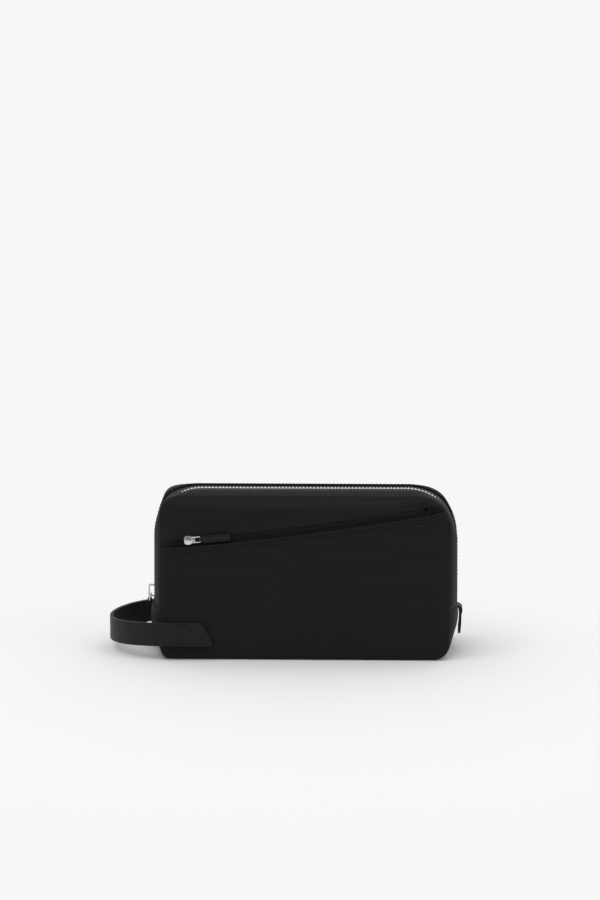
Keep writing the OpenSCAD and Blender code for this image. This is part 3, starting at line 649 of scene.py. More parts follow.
def small_shape(profile, thick, bevel):
    """A side view (y, z) drawn out along X with bevelled edges."""
    bm = bmesh.new()
    ends = [[bm.verts.new((x, y, z)) for y, z in profile] for x in (-thick / 2, thick / 2)]
    bm.faces.new(ends[0][::-1])
    bm.faces.new(ends[1])
    n = len(profile)
    for j in range(n):
        bm.faces.new((ends[0][j], ends[0][(j + 1) % n], ends[1][(j + 1) % n], ends[1][j]))
    bmesh.ops.bevel(
        bm, geom=bm.edges[:], offset=bevel, segments=2, profile=0.6, affect="EDGES", clamp_overlap=True
    )
    return mesh_arrays(bm)


def repeat(name, shape, places, material, sharp=50):
    """Copies shape to each place: (origin, along, across, out)."""
    verts, faces = shape
    all_verts = [o + verts[:, :1] * a + verts[:, 1:2] * b + verts[:, 2:] * c for o, a, b, c in places]
    all_faces = [[k * len(verts) + i for i in f] for k in range(len(places)) for f in faces]
    mesh = bpy.data.meshes.new(name)
    mesh.from_pydata(np.concatenate(all_verts).tolist(), [], all_faces)
    mesh.shade_smooth()
    mesh.set_sharp_from_angle(angle=math.radians(sharp))
    return show(name, mesh, material)


print("a cube of 1 mm has", len(small_shape([(0, 0), (MM, 0), (MM, MM), (0, MM)], MM, 0.1 * MM)[0]), "points")

# %% [markdown]
# ## Stitches
# A stitch is a short plump piece of thread that dives into the cloth at both ends. No two lie quite
# the same, so each is turned by a small random angle about its middle.

# %% Stitch helpers
SLANT = 0.05                   # the most a stitch is turned, in radians


def stitch_shape(length, thick):
    bm = bmesh.new()
    rings, sides = 7, 8
    loops = []
    for i in range(rings):
        t = -1 + 2 * (i + 0.5) / rings
        r = thick / 2 * (1 - t**4) ** 0.5 * (0.75 + 0.25 * (1 - t * t))
        z = -0.45 * thick * t**4
        turns = [2 * math.pi * j / sides for j in range(sides)]
        loops.append([bm.verts.new((t * length / 2, r * math.cos(a), z + r * math.sin(a))) for a in turns])
    for one, two in zip(loops, loops[1:]):
        for j in range(sides):
            bm.faces.new((one[j], one[(j + 1) % sides], two[(j + 1) % sides], two[j]))
    bm.faces.new(loops[0][::-1])
    bm.faces.new(loops[-1])
    return mesh_arrays(bm)


def unit(v):
    return v / np.linalg.norm(v)


def along_line(line, out, pitch, length):
    """Places for stitches, pitch apart on a line of points. out, or out(i), is the way up at point i."""
    line = np.asarray(line)
    steps = np.linalg.norm(np.diff(line, axis=0), axis=1)
    run = np.concatenate([[0], np.cumsum(steps)])
    places = []
    for d in np.arange(length / 2, run[-1] - length / 2, pitch):
        i = min(np.searchsorted(run, d, side="right") - 1, len(steps) - 1)
        at = line[i] + (line[i + 1] - line[i]) * (d - run[i]) / steps[i]
        a = unit(line[i + 1] - line[i])
        up = out(i) if callable(out) else np.asarray(out)
        up = unit(up - a * (up @ a))
        across = np.cross(up, a)
        tilt = random.uniform(-SLANT, SLANT)
        a, across = a * math.cos(tilt) + across * math.sin(tilt), across * math.cos(tilt) - a * math.sin(tilt)
        places.append((at, a, across, up))
    return places


print("one stitch has", len(stitch_shape(2.5 * MM, 0.5 * MM)[0]), "points")

# %% Stitches of the hem
CLOTH_STITCH, CLOTH_PITCH = 2.5 * MM, 3.1 * MM
FRONT_OUT = np.array([0, -math.cos(LEAN), math.sin(LEAN)])
hem_xs = np.linspace(-PANEL_HW + 5 * MM, PANEL_HW - 5 * MM, 160)
cloth_stitch = stitch_shape(CLOTH_STITCH, 0.5 * MM)
hem_places = []
for row in HEM_ROWS:
    line = pocket_face(hem_xs, lip_z(hem_xs) - row, 0.05 * MM)
    hem_places += along_line(line, FRONT_OUT, CLOTH_PITCH, CLOTH_STITCH)
follow_front(repeat("hem_stitches", cloth_stitch, hem_places, thread))

# %% [markdown]
# ## The swelling side
# From seam to seam the side and top swell out in one soft curve. Two arches describe it: the seam and
# the zip line. A place on the side is a step v from the zip towards the seam, so the same function
# gives the zip tapes near the middle and the cloth strips beside them.

# %% The arches
FOOT_Z = FOLD_Z + 0.3 * MM     # where the arches stand on the lower side


def half_arch(hw, top, r, side, corner):
    """Points [x, z, outward x, outward z] from the left foot up to the end of the left corner."""
    climb = np.linspace(0, 1, side, endpoint=False) ** 1.5
    turn = np.linspace(0, math.pi / 2, corner, endpoint=False)
    points = [(-hw, FOOT_Z + (top - r - FOOT_Z) * t, -1, 0) for t in climb]
    for a in turn:
        points.append((r - hw - r * math.cos(a), top - r + r * math.sin(a), -math.cos(a), math.sin(a)))
    return points


def arch(hw, top, left_r, right_r, side=26, corner=20, across=46):
    """The same from the left foot over the top to the right foot."""
    over = [(x, top, 0, 1) for x in np.linspace(left_r - hw, hw - right_r, across)]
    right = [(-x, z, -ox, oz) for x, z, ox, oz in half_arch(hw, top, right_r, side, corner)[::-1]]
    return np.array(half_arch(hw, top, left_r, side, corner) + over + right)


seam_arch = arch(PANEL_HW, SEAM_Z, PANEL_R_LEFT, PANEL_R_RIGHT)
zip_arch = arch(ZIP_HW, ZIP_Z, ZIP_R_LEFT, ZIP_R_RIGHT)
seam_depth = half_depth(seam_arch[:, 1]) - PANEL_T - SEAM_GAP


def side_point(v, out, side):
    """v: one row of steps for each station. out: how far off the surface. side: -1 front, 1 rear."""
    s, z, depth = seam_arch[:, None, :], zip_arch[:, None, :], seam_depth[:, None]
    corner = 2 * np.abs(z[..., 2] * z[..., 3])      # 1 in the middle of a corner, 0 on the straight runs
    k = 1 - v ** (3 - 2.2 * corner)
    x = s[..., 0] + (z[..., 0] - s[..., 0]) * k + out * s[..., 2]
    up = s[..., 1] + (z[..., 1] - s[..., 1]) * k + out * s[..., 3]
    return np.stack([x, side * v * depth, up], axis=-1)


print("stations along the arches:", len(seam_arch))

# %% [markdown]
# ## Zip gussets
# Two strips of the shell cloth run from the zip to the panel seams. Beside the zip the edge is turned
# under, so it stands a little proud of the tape, with one row of stitches. Both strips dip where they
# meet the seams and where they end at the side.

# %% Gussets
GUSSET_EDGE = 12 * MM                          # the turned edge's distance from the zip's middle
EDGE_T, GUSSET_T = 1.3 * MM, 2.8 * MM          # thickness at that edge and at the seam
GUSSET_CROWN = 0.8 * MM
SEAM_DIP = 1.6 * MM
END_DIP, END_DIP_RUN = 1.3 * MM, 1.5 * MM      # the dip at the strips' lower ends
STITCH_ROW = 0.085                             # the stitched row, as a share of the strip's width
foot_distance = (np.minimum(seam_arch[:, 1], zip_arch[:, 1]) - FOOT_Z)[:, None]


def gusset_out(f):
    """How far the strip stands off the side, at a share f of the way to the seam."""
    lift = (EDGE_T + 0.1 * MM) * (1 - f)
    crown = GUSSET_CROWN * (1 - np.abs(2 * f - 1) ** 8) - SEAM_DIP * f**18
    return lift + crown - END_DIP * np.exp(-foot_distance / END_DIP_RUN)


def gusset_rows(fs):
    near = (GUSSET_EDGE / seam_depth)[:, None]
    f = np.repeat(fs[None, :], len(seam_depth), axis=0)
    return near + (1 - near) * f, f


def make_gusset(name, side):
    v, f = gusset_rows(crowded(22, 1.6))
    out = gusset_out(f)
    outer = side_point(v, out, side)
    inner = side_point(v, out - EDGE_T - (GUSSET_T - EDGE_T) * f, side)
    return slab(name, outer, inner, cloth, "shell_cloth", bevel=0.5 * MM)


def gusset_stitches(name, side):
    v, f = gusset_rows(np.array([STITCH_ROW]))
    line = side_point(v, gusset_out(f) + 0.02 * MM, side)[:, 0]
    outs = np.stack([seam_arch[:, 2], 0 * seam_depth, seam_arch[:, 3]], axis=-1)
    places = along_line(line, lambda i: outs[i], CLOTH_PITCH, CLOTH_STITCH)
    return repeat(name, cloth_stitch, places, thread)


follow_front(make_gusset("front_gusset", -1), "zip_gusset_front")
follow(make_gusset("rear_gusset", 1), "bag", "zip_gusset_rear")
follow_front(gusset_stitches("front_gusset_stitches", -1))
follow(gusset_stitches("rear_gusset_stitches", 1), "bag")

# %% [markdown]
# ## Base and lower sides
# One strip of cloth makes the lower sides and the base. It bulges at the sides, tucks in under the
# bag at the corners, and lies flat on the table between them. The left corner is fuller and turns
# more tightly than the right one. A row of stations round the strip carries all this.

# %% Base
BASE_T = 3.0 * MM
BASE_CROWN, BASE_DIP = 0.6 * MM, 1.0 * MM      # crown of the strip and its dip at the seams
TUCK_LEFT, TUCK_RIGHT = 20 * MM, 32 * MM       # heights below which the sides tuck in
SWELL_LEFT, SWELL_RIGHT = 9.8 * MM, 7.6 * MM   # how far the sides bulge


def flank(swell, r, tuck, side=22, corner=14):
    """Stations [x, z, outward x, outward z, swell] from the left fold down to the table."""
    drop = np.linspace(0, 1, side, endpoint=False) ** 1.4
    points = [(-PANEL_HW, FOLD_Z - (FOLD_Z - r) * t, -1, 0) for t in drop]
    for a in np.linspace(0, math.pi / 2, corner):
        points.append((r * (1 - math.cos(a)) - PANEL_HW, r * (1 - math.sin(a)), -math.cos(a), -math.sin(a)))
    return [(x, z, ox, oz, swell * smooth(z / tuck)) for x, z, ox, oz in points]


def base_stations(across=40):
    left = flank(SWELL_LEFT, BASE_R_LEFT, TUCK_LEFT)
    flat = [(x, 0, 0, -1, 0) for x in np.linspace(BASE_R_LEFT - PANEL_HW, PANEL_HW - BASE_R, across)[1:-1]]
    right = [(-x, z, -ox, oz, o) for x, z, ox, oz, o in flank(SWELL_RIGHT, BASE_R, TUCK_RIGHT)][::-1]
    return np.array(left + flat + right)


def make_base():
    s = base_stations()[:, None, :]
    f = (2 * crowded(40) - 1)[None, :]
    end = END_DIP * np.exp(-(FOLD_Z - s[..., 1]) / END_DIP_RUN)
    crown = BASE_CROWN * (1 - f**8) * (1 - np.abs(s[..., 3])) - BASE_DIP * np.abs(f) ** 22 - end

    def at(out):
        o = s[..., 4] * (1 - np.abs(f) ** 3) + crown + out
        z = s[..., 1] + o * s[..., 3]
        return np.stack([s[..., 0] + o * s[..., 2], f * (half_depth(z) - PANEL_T - SEAM_GAP), z], axis=-1)

    return slab("base_cloth", at(0), at(-BASE_T), cloth, "shell_cloth", bevel=0.5 * MM)


follow(make_base(), "bag", "base_gusset")

# %% [markdown]
# ## Zip tapes
# The tapes are thin woven ribbons that fill the gap between the teeth and the gussets. They part a
# little below the slider, where the two rows of teeth aren't joined.

# %% Tapes
TAPE_T = 0.7 * MM
TAPE_EDGE = 1.7 * MM           # from the zip's middle to the tape's edge
TAPE_UNDER = 0.4 * MM          # how far the tape reaches under the gusset
ROW_PARTING = 1.8 * MM
PARTING_HALF = 4.5 * MM        # half the height over which the rows part
SLIDER_Z = (slider_low.z + slider_high.z) / 2


def parting(x, z):
    """How far each row lies off the middle: only on the left side, below the slider."""
    below = np.clip((SLIDER_Z + PARTING_HALF - z) / (2 * PARTING_HALF), 0, 1)
    return np.where(x > 0, 0, ROW_PARTING * below)


def make_zip_tape(name, side):
    inner_edge = TAPE_EDGE + parting(zip_arch[:, 0], zip_arch[:, 1])
    steps = np.linspace(0, 1, 8)[None, :]
    y = inner_edge[:, None] + (GUSSET_EDGE + TAPE_UNDER - inner_edge[:, None]) * steps
    v = y / seam_depth[:, None]
    top, under = side_point(v, 0, side), side_point(v, -TAPE_T, side)
    return slab(name, top, under, tape_cloth, "zip_tape", bevel=0.15 * MM, segments=2)


follow_front(make_zip_tape("front_tape", -1), "zip_tape_front")
follow(make_zip_tape("rear_tape", 1), "bag", "zip_tape_rear")

# %% [markdown]
# ## Metal teeth
# Each tooth is clamped on the edge of a tape and has a slim head that reaches between two teeth of the
# other row. One tooth is shaped once and set out along the zip line, which runs straight up the
# sides and over the top with a quarter circle at each corner.

# %% The zip line
def half_zip(r):
    """Length of the line from a foot to the middle of the top, with a corner of radius r."""
    return ZIP_Z - r - FOOT_Z + r * math.pi / 2 + ZIP_HW - r


ZIP_LENGTH = half_zip(ZIP_R_LEFT) + half_zip(ZIP_R_RIGHT)


def half_place(p, r):
    """Place and outward direction at p along the left half of a zip line with corner radius r."""
    side = ZIP_Z - r - FOOT_Z
    if p < side:
        return np.array([-ZIP_HW, 0, FOOT_Z + p]), np.array([-1, 0, 0.0])
    a = min(math.pi / 2, (p - side) / r)
    x = -ZIP_HW + r * (1 - math.cos(a)) + max(0, p - side - r * math.pi / 2)
    return np.array([x, 0, ZIP_Z - r * (1 - math.sin(a))]), np.array([-math.cos(a), 0, math.sin(a)])


def zip_place(p):
    if p <= half_zip(ZIP_R_LEFT):
        return half_place(p, ZIP_R_LEFT)
    at, out = half_place(ZIP_LENGTH - p, ZIP_R_RIGHT)
    return at * (-1, 1, 1), out * (-1, 1, 1)


print("the zip line is %.0f mm long" % (ZIP_LENGTH / MM))

# %% Teeth
TOOTH_PITCH = 3.0 * MM
TEETH_START = 3.4 * MM         # from the line's foot to the first tooth
TOOTH_T, TOOTH_HALF = 1.3 * MM, 1.3 * MM       # thickness along the zip, half the height
TEETH = int((ZIP_LENGTH - 2 * TEETH_START) / TOOTH_PITCH)
upper_outline = [                              # from the head's tip back to the clamp
    (0.6 * MM, TOOTH_HALF - 0.7 * MM), (0.45 * MM, TOOTH_HALF - 0.5 * MM),
    (-0.6 * MM, TOOTH_HALF - 0.35 * MM), (-1.0 * MM, TOOTH_HALF), (-2.6 * MM, TOOTH_HALF),
]
lower_outline = [(y, -z) for y, z in upper_outline[::-1]]
tooth = small_shape(lower_outline + upper_outline, TOOTH_T, 0.2 * MM)


def make_teeth(name, side, shift):
    """One row. shift sets it off by a share of the pitch, so that the rows mesh."""
    places = []
    for k in range(TEETH):
        at, out = zip_place(TEETH_START + (k + shift) * TOOTH_PITCH)
        across = np.array([0, -side, 0.0])
        at = at - out * TAPE_T / 2 - across * float(parting(at[0], at[2]))
        places.append((at, np.cross(across, out), across, out))
    return repeat(name, tooth, places, teeth_nickel, sharp=35)


follow_front(make_teeth("front_teeth", -1, 0), "zip_teeth_front")
follow(make_teeth("rear_teeth", 1, 0.5), "bag", "zip_teeth_rear")

# %% [markdown]
# ## Pocket zip
# The pocket's zip is a nylon coil on narrow tapes that follow the lip's curve just above it. A circle
# about the lip's own centre keeps them at one distance from it. The frame's coils and stops are fine
# enough to stay, so they only get a finish: the coil's colour darkened as painted shade.

# %% Pocket tapes
POCKET_ZIP_HALF = 106 * MM
POCKET_ZIP_D = 2.15 * MM       # how far the tapes lie out of the front's plane
POCKET_TAPE_IN, POCKET_TAPE_OUT, POCKET_TAPE_T = 1.9 * MM, 7.4 * MM, 0.6 * MM
POCKET_SLIDER_X = 7.75 * MM - POCKET_ZIP_HALF
POCKET_PARTING, POCKET_PARTING_RUN = 0.7 * MM, 5 * MM


def front_point(x, s, d):
    """A point at x, s up along the leaning front and d out of its plane."""
    y = -BASE_HALF + s * math.sin(LEAN) - d * math.cos(LEAN)
    return np.stack(np.broadcast_arrays(x, y, s * math.cos(LEAN) + d * math.sin(LEAN)), axis=-1)


def on_pocket_zip(x, off, d):
    """A point at x along the pocket zip, off above its centre line and d out of the front."""
    r = LIP_R - ZIP_RISE
    a = np.arcsin((x - LIP_CENTRE_X) / r)
    return front_point(LIP_CENTRE_X + (r - off) * np.sin(a), LIP_CENTRE_S - (r - off) * np.cos(a), d)


def make_pocket_tape(name, side):
    x = np.linspace(-POCKET_ZIP_HALF, POCKET_ZIP_HALF, 90)[:, None]
    before_slider = (POCKET_SLIDER_X + POCKET_PARTING_RUN / 2 - x) / POCKET_PARTING_RUN
    part = POCKET_PARTING * np.clip(before_slider, 0, 1)
    off = POCKET_TAPE_IN + part + (POCKET_TAPE_OUT - POCKET_TAPE_IN - part) * np.linspace(0, 1, 6)[None, :]
    top = on_pocket_zip(x, side * off, POCKET_ZIP_D + POCKET_TAPE_T / 2)
    under = on_pocket_zip(x, side * off, POCKET_ZIP_D - POCKET_TAPE_T / 2)
    # painted shade: the pocket tapes use the darkened tape finish
    return slab(name, top, under, painted_shade_tape, "zip_tape", bevel=0.12 * MM, segments=2)


follow(make_pocket_tape("pocket_tape_above", 1), "front_shell", "pocket_zip_tape_upper")
follow(make_pocket_tape("pocket_tape_below", -1), "front_shell", "pocket_zip_tape_lower")
# painted shade: the coils and stops get the darkened coil finish
for kept in ("pocket_zip_coil_upper", "pocket_zip_coil_lower", "pocket_zip_stops"):
    dress(kept, painted_shade_coil)

# %% [markdown]
# ## Strap
# Two plies of leather are glued together. The strap leaves the front panel, swings round the side in a
# loop and is sewn to the back panel. A curve with a profile would twist at the anchors. So the strap is
# worked out flat along its path: each station has a point, a way up across the strap and a way out.

# %% Strap path
STRAP_W = 20 * MM
STRAP_T, STRAP_LINING_T = 1.6 * MM, 1.4 * MM
STRAP_ALL = STRAP_T + STRAP_LINING_T
STRAP_MID = 22 * MM            # height of its middle on the panels
STRAP_REACH = 51 * MM          # how far the loop stands off the side
STRAP_DROOP = 3.5 * MM         # how much it hangs at its far end
STRAP_ANCHOR = 29 * MM         # length sewn to a panel, at the upper corner
STRAP_SLANT = 11 * MM          # how much longer it is at the lower corner
STRAP_CORNER_R = 3.2 * MM
SEWN = 0.22                    # the share of the strap's steps that each anchor takes
BEND_X = 6 * MM - PANEL_HW     # where the loop leaves the panels
strap_front = front_point(BEND_X, STRAP_MID, POCKET_T + 1.3 * MM + STRAP_ALL / 2)
strap_back = front_point(BEND_X, STRAP_MID, 0.15 * MM + STRAP_ALL / 2) * (1, -1, 1)
strap_middle = (strap_front + strap_back) / 2
strap_half = (strap_back - strap_front) / 2


def strap_point(t, w, d):
    """t: 0 to 1 along the strap, w: -1 to 1 across it, d: out from its middle."""
    t, w, d = np.broadcast_arrays(t, w, d)
    a = (np.clip((t - SEWN) / (1 - 2 * SEWN), 0, 1) - 0.5) * math.pi
    on_panel = np.clip((SEWN - t) / SEWN, 0, 1) + np.clip((t - 1 + SEWN) / SEWN, 0, 1)
    cut = corner_cut(np.abs(w) * STRAP_W / 2 - STRAP_W / 2 + STRAP_CORNER_R, STRAP_CORNER_R)
    anchor = STRAP_ANCHOR + STRAP_SLANT * (1 - w) / 2 - cut
    x = BEND_X - STRAP_REACH * np.cos(a) + anchor * on_panel
    y = strap_middle[1] + strap_half[1] * np.sin(a)
    z = strap_middle[2] + strap_half[2] * np.sin(a) - STRAP_DROOP * np.cos(a) ** 2
    nx, ny = -np.cos(a) / STRAP_REACH, np.sin(a) / strap_half[1]
    size = np.sqrt(nx * nx + ny * ny)
    tilt = -LEAN * np.sin(a)
    out = np.stack([nx / size, ny / size * np.cos(tilt), -ny / size * np.sin(tilt)], axis=-1)
    up = np.stack([0 * x, np.sin(tilt), np.cos(tilt)], axis=-1)
    return np.stack([x, y, z], axis=-1) + d[..., None] * out + (w * STRAP_W / 2)[..., None] * up


loop_end = strap_point(0.5, 0.0, STRAP_ALL / 2)
print("the loop reaches x %.1f mm" % (loop_end[0] / MM))

# %% Strap plies
PLY_GAP = 0.03 * MM


def make_ply(name, near, far, material, slot):
    sewn_steps = np.linspace(0, SEWN, 16)[:-1]
    t = np.concatenate([sewn_steps, np.linspace(SEWN, 1 - SEWN, 70), 1 - sewn_steps[::-1]])[:, None]
    w = np.sin(np.linspace(-1, 1, 15) * math.pi / 2)[None, :]
    return slab(name, strap_point(t, w, far), strap_point(t, w, near), material, slot, bevel=0.45 * MM)


glue_line = STRAP_LINING_T - STRAP_ALL / 2
outer_ply = make_ply("strap_outer", glue_line + PLY_GAP, STRAP_ALL / 2, leather, "strap_leather")
follow(outer_ply, "bag", "strap")
inner_ply = make_ply("strap_inner", -STRAP_ALL / 2, glue_line, under_leather, "strap_lining")
follow(inner_ply, "bag", "strap_lining")

# %% [markdown]
# ### Strap stitches
# Each anchor is held by a row along its lower edge and a shorter one along its upper edge. The rows
# are lines on the strap's own surface, so they follow it wherever it goes.

# %% Strap stitches
STRAP_STITCH, STRAP_PITCH = 2.9 * MM, 3.6 * MM
STRAP_ROWS = ((0.76, 0.62), (-0.76, 1.0))      # place across the strap, share of the anchor's length


def strap_stitches(name, first, last):
    """Rows from step first to step last of the strap, both on one anchor."""
    tip = round(first)                         # 0 at the front end of the strap, 1 at the rear end
    out = strap_point(tip, 0, 1) - strap_point(tip, 0, 0)
    places = []
    for w, share in STRAP_ROWS:
        t = np.linspace(first, first + (last - first) * share, 60)
        places += along_line(strap_point(t, w, STRAP_ALL / 2 + 0.04 * MM), out, STRAP_PITCH, STRAP_STITCH)
    return repeat(name, stitch_shape(STRAP_STITCH, 0.6 * MM), places, thread)


follow(strap_stitches("strap_stitches_front", 0.2, 0.03), "bag")
follow(strap_stitches("strap_stitches_rear", 0.8, 0.97), "bag")

# %% [markdown]
# ## Leather pulls
# A pull is one strip folded round the wire link and sewn to itself, so its side view is a loop that
# closes into two plies. The joints of the frame give where the link turns and where the pull hangs,
# so the strip is drawn once in those directions and serves both zips.

# %% Pull helpers
PULL_T = 2.4 * MM
PLY = PULL_T / 2 - 0.04 * MM   # thickness of one ply
PULL_GAP = 0.06 * MM           # between the plies, and round the wire
PULL_CORNER_R = 1.2 * MM
JOINTS = {j["name"]: j for j in frame["joints"]}


def pull_directions(link_joint, pull_joint):
    """Where the pull hangs, and its ways along, across and out."""
    root, bar = (np.array(JOINTS[name]["pos_m"]) for name in (link_joint, pull_joint))
    along = unit(bar - root)
    across = unit(np.array(JOINTS[pull_joint]["axis"]))
    return bar, along, across, np.cross(across, along)


def pull_profile(wire, open_end):
    """The strip's middle in side view, (along, out): in to the wire, round it and back."""
    eye = wire / 2 + PULL_GAP
    side = []
    for t in np.linspace(1, 0, 22):
        closing = math.exp(-((t * open_end / (2.2 * MM)) ** 2))
        side.append((t * open_end, PULL_GAP + PLY / 2 + (eye - PULL_GAP) * closing))
    r = eye + PLY / 2
    turn = [(-r * math.sin(a), r * math.cos(a)) for a in np.linspace(0.2, math.pi - 0.2, 11)]
    return np.array(side + turn + [(x, -d) for x, d in side[::-1]])


print("the main pull hangs at", np.round(pull_directions("main_link_swing", "main_pull_swing")[0], 4))

# %% Pulls
PULL_STITCH, PULL_PITCH = 1.9 * MM, 2.4 * MM
PULL_STITCH_INSET = 1.15 * MM  # from the pull's edge


def make_pull(name, directions, wire, neck, open_end, width):
    bar, along, across, out = directions
    profile = pull_profile(wire, open_end)
    normal = np.gradient(profile, axis=0)
    normal = np.stack([-normal[:, 1], normal[:, 0]], axis=-1)
    normal /= np.linalg.norm(normal, axis=1)[:, None]
    x = profile[:, 0]
    half = neck / 2 + (width - neck) / 2 * smooth((x - 1.0 * MM) / (2.4 * MM))
    half = half - corner_cut(x - open_end + PULL_CORNER_R, PULL_CORNER_R)
    w = np.sin(np.linspace(-1, 1, 9) * math.pi / 2)

    def face(off):
        p = profile + normal * off
        middle = bar + p[:, :1] * along + p[:, 1:] * out
        return middle[:, None, :] + (half[:, None] * w[None, :])[..., None] * across

    inside, outside = face(-PLY / 2), face(PLY / 2)
    return slab(name, inside, outside, pull_leather, "pull_leather", bevel=0.3 * MM, segments=2)


def pull_stitches(name, directions, open_end, width):
    """On both faces: a row along each edge and a short one across the open end."""
    bar, along, across, out = directions
    start, stop = bar + along * 4.2 * MM, bar + along * (open_end - 1.6 * MM)
    inset = width / 2 - PULL_STITCH_INSET
    rows = []
    for face_side in (1, -1):
        up = face_side * out * (PLY + 0.08 * MM)
        for edge in (-1, 1):
            off = up + edge * across * inset
            line = [start + off + (stop - start) * k / 12 for k in range(13)]
            rows += along_line(line, face_side * out, PULL_PITCH, PULL_STITCH)
        end_line = [stop + up + across * inset * k for k in (-1, 0, 1)]
        rows += along_line(end_line, face_side * out, PULL_PITCH, PULL_STITCH)
    return repeat(name, stitch_shape(PULL_STITCH, 0.42 * MM), rows, thread)


for body, wire, neck, length, width in (
    ("main", 1.4 * MM, 4.2 * MM, 26 * MM, 8 * MM),
    ("pocket", 1.0 * MM, 3.0 * MM, 25 * MM, 6 * MM),
):
    directions = pull_directions(body + "_link_swing", body + "_pull_swing")
    open_end = wire / 2 + 0.5 * MM + length
    pull = make_pull(body + "_pull", directions, wire, neck, open_end, width)
    follow(pull, body + "_pull", body + "_pull_tab")
    follow(pull_stitches(body + "_pull_stitches", directions, open_end, width), body + "_pull")

# %% [markdown]
# ## Holding tab
# A short leather tab is caught in the side seam at the zip's end, to hold on to while the zip is
# pulled. It is turned in at its root, where it is thicker, and its free end is rounded. The grid runs
# down the tab, and sine curves give the fold at the root and the slight bow below it.

# %% Holding tab
TAB_L, TAB_W, TAB_T = 27 * MM, 13 * MM, 2.0 * MM
TAB_END_R = 5.5 * MM
TAB_BOW = 0.8 * MM
TAB_TUCK = 3.2 * MM            # how far the root dives into the seam
TAB_FOLD, TAB_FOLD_L = 1.3 * MM, 11 * MM       # extra thickness and length of the turned-in root
tab_low, tab_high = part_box("holding_tab")


def make_tab():
    f = np.concatenate([np.linspace(0, 0.5, 26), np.linspace(0.5, 1, 20)[1:]])[:, None]
    w = np.sin(np.linspace(-1, 1, 17) * math.pi / 2)[None, :]
    length = TAB_L - corner_cut(np.abs(w) * TAB_W / 2 - TAB_W / 2 + TAB_END_R, TAB_END_R)
    z = tab_high.z - length * f
    root = TAB_TUCK * np.exp(-f / 0.07)
    inner_x = tab_low.x - 1.0 * MM + TAB_BOW * np.sin(math.pi * f) - root + 0 * w
    fold = TAB_FOLD * np.sin(math.pi * np.minimum(1, f * TAB_L / TAB_FOLD_L)) ** 1.5
    outer_x = inner_x + TAB_T * np.minimum(1, 0.35 + 6 * f) + fold
    y = w * TAB_W / 2 * (0.86 + 0.14 * smooth(f * 3)) + 0 * f
    outer, inner = (np.stack([x, y, z], axis=-1) for x in (outer_x, inner_x))
    return slab("holding_tab_leather", outer, inner, leather, "strap_leather", bevel=0.5 * MM)


follow(make_tab(), "holding_tab", "holding_tab")

# %% [markdown]
# ## Lining sheets
# The lining is seen once the mouth is open: a sheet on the front, one on the back, and a slip pocket.
# Thin cloth that hangs free could be left to a cloth simulation. A few crossed sine waves look alike
# here, cost nothing and give the same result each run. They die out at the sewn edges.

# %% Lining sheets
LINING_T = 0.8 * MM
LINING_GAP = 0.3 * MM          # between the lining and what it covers
LINING_R = 20 * MM
LINING_FREE = 8 * MM           # distance from the edge at which the cloth hangs free
LINING_D = -PANEL_T * math.cos(LEAN) - LINING_GAP
LINING_LOW = (FOLD_Z + 2 * MM) / math.cos(LEAN)
LINING_HIGH = (SEAM_Z - 6 * MM) / math.cos(LEAN)
LINING_HW = PANEL_HW - 8 * MM
SLIP_LOW, SLIP_H, SLIP_HW = LINING_LOW + 4 * MM, 58 * MM, 85 * MM


def soft_waves(x, z, size):
    slow = np.sin(x * 55 + 3 * np.sin(z * 40)) * np.cos(z * 47 + 1.3)
    return size * (slow * 0.6 + 0.4 * np.sin(x * 131 + z * 90))


def lining_sheet(name, side, half_w, low_s, high_s, r, d, wave):
    """A sheet with rounded corners at depth d behind the front plane, or mirrored behind the back."""
    turn = np.linspace(0, math.pi / 2, 9, endpoint=False)
    left = -half_w + r * (1 - np.cos(turn))
    xs = np.concatenate([left, np.linspace(r - half_w, half_w - r, 60), -left[::-1]])
    cut = corner_cut(np.abs(xs) - half_w + r, r)
    s = (low_s + cut)[:, None] + (high_s - low_s - 2 * cut)[:, None] * crowded(40, 1.4)[None, :]
    x = xs[:, None] + 0 * s
    to_edge = np.minimum(half_w - np.abs(x), np.minimum(s - low_s, high_s - s))
    lift = soft_waves(x, s, wave) * np.clip(to_edge / LINING_FREE, 0, 1)
    face = front_point(x, s, d - LINING_T - np.abs(lift)) * (1, -side, 1)
    back = front_point(x, s, d) * (1, -side, 1)
    return slab(name, face, back, lining_cloth, "lining", bevel=0.2 * MM, segments=2)


sheet = (LINING_HW, LINING_LOW, LINING_HIGH, LINING_R, LINING_D)
follow_front(lining_sheet("front_lining_cloth", -1, *sheet, 0.5 * MM), "lining_front")
follow(lining_sheet("back_lining_cloth", 1, *sheet, 0.3 * MM), "bag", "lining_back")
slip = (SLIP_HW, SLIP_LOW, SLIP_LOW + SLIP_H, 4 * MM, LINING_D - LINING_T - 0.35 * MM)
follow(lining_sheet("slip_pocket_cloth", 1, *slip, 0.5 * MM), "bag", "inner_pocket")

# %% [markdown]
# ## Lining tub
# In the base the lining makes a shallow tub with rounded corners. Closed rings of points, one above
# the other, go up its outside and down its inside, and the faces between them make the wall.

# %% Lining tub
TUB_R = 12 * MM


def sweep(name, rings, material, slot):
    """A solid through a list of closed rings."""
    rings = np.asarray(rings)
    k, n = rings.shape[:2]
    faces = [
        (i * n + j, i * n + (j + 1) % n, (i + 1) * n + (j + 1) % n, (i + 1) * n + j)
        for i in range(k - 1)
        for j in range(n)
    ]
    faces += [tuple(range(n))[::-1], tuple((k - 1) * n + j for j in range(n))]
    return new_piece(name, rings.reshape(-1, 3), faces, material, slot)


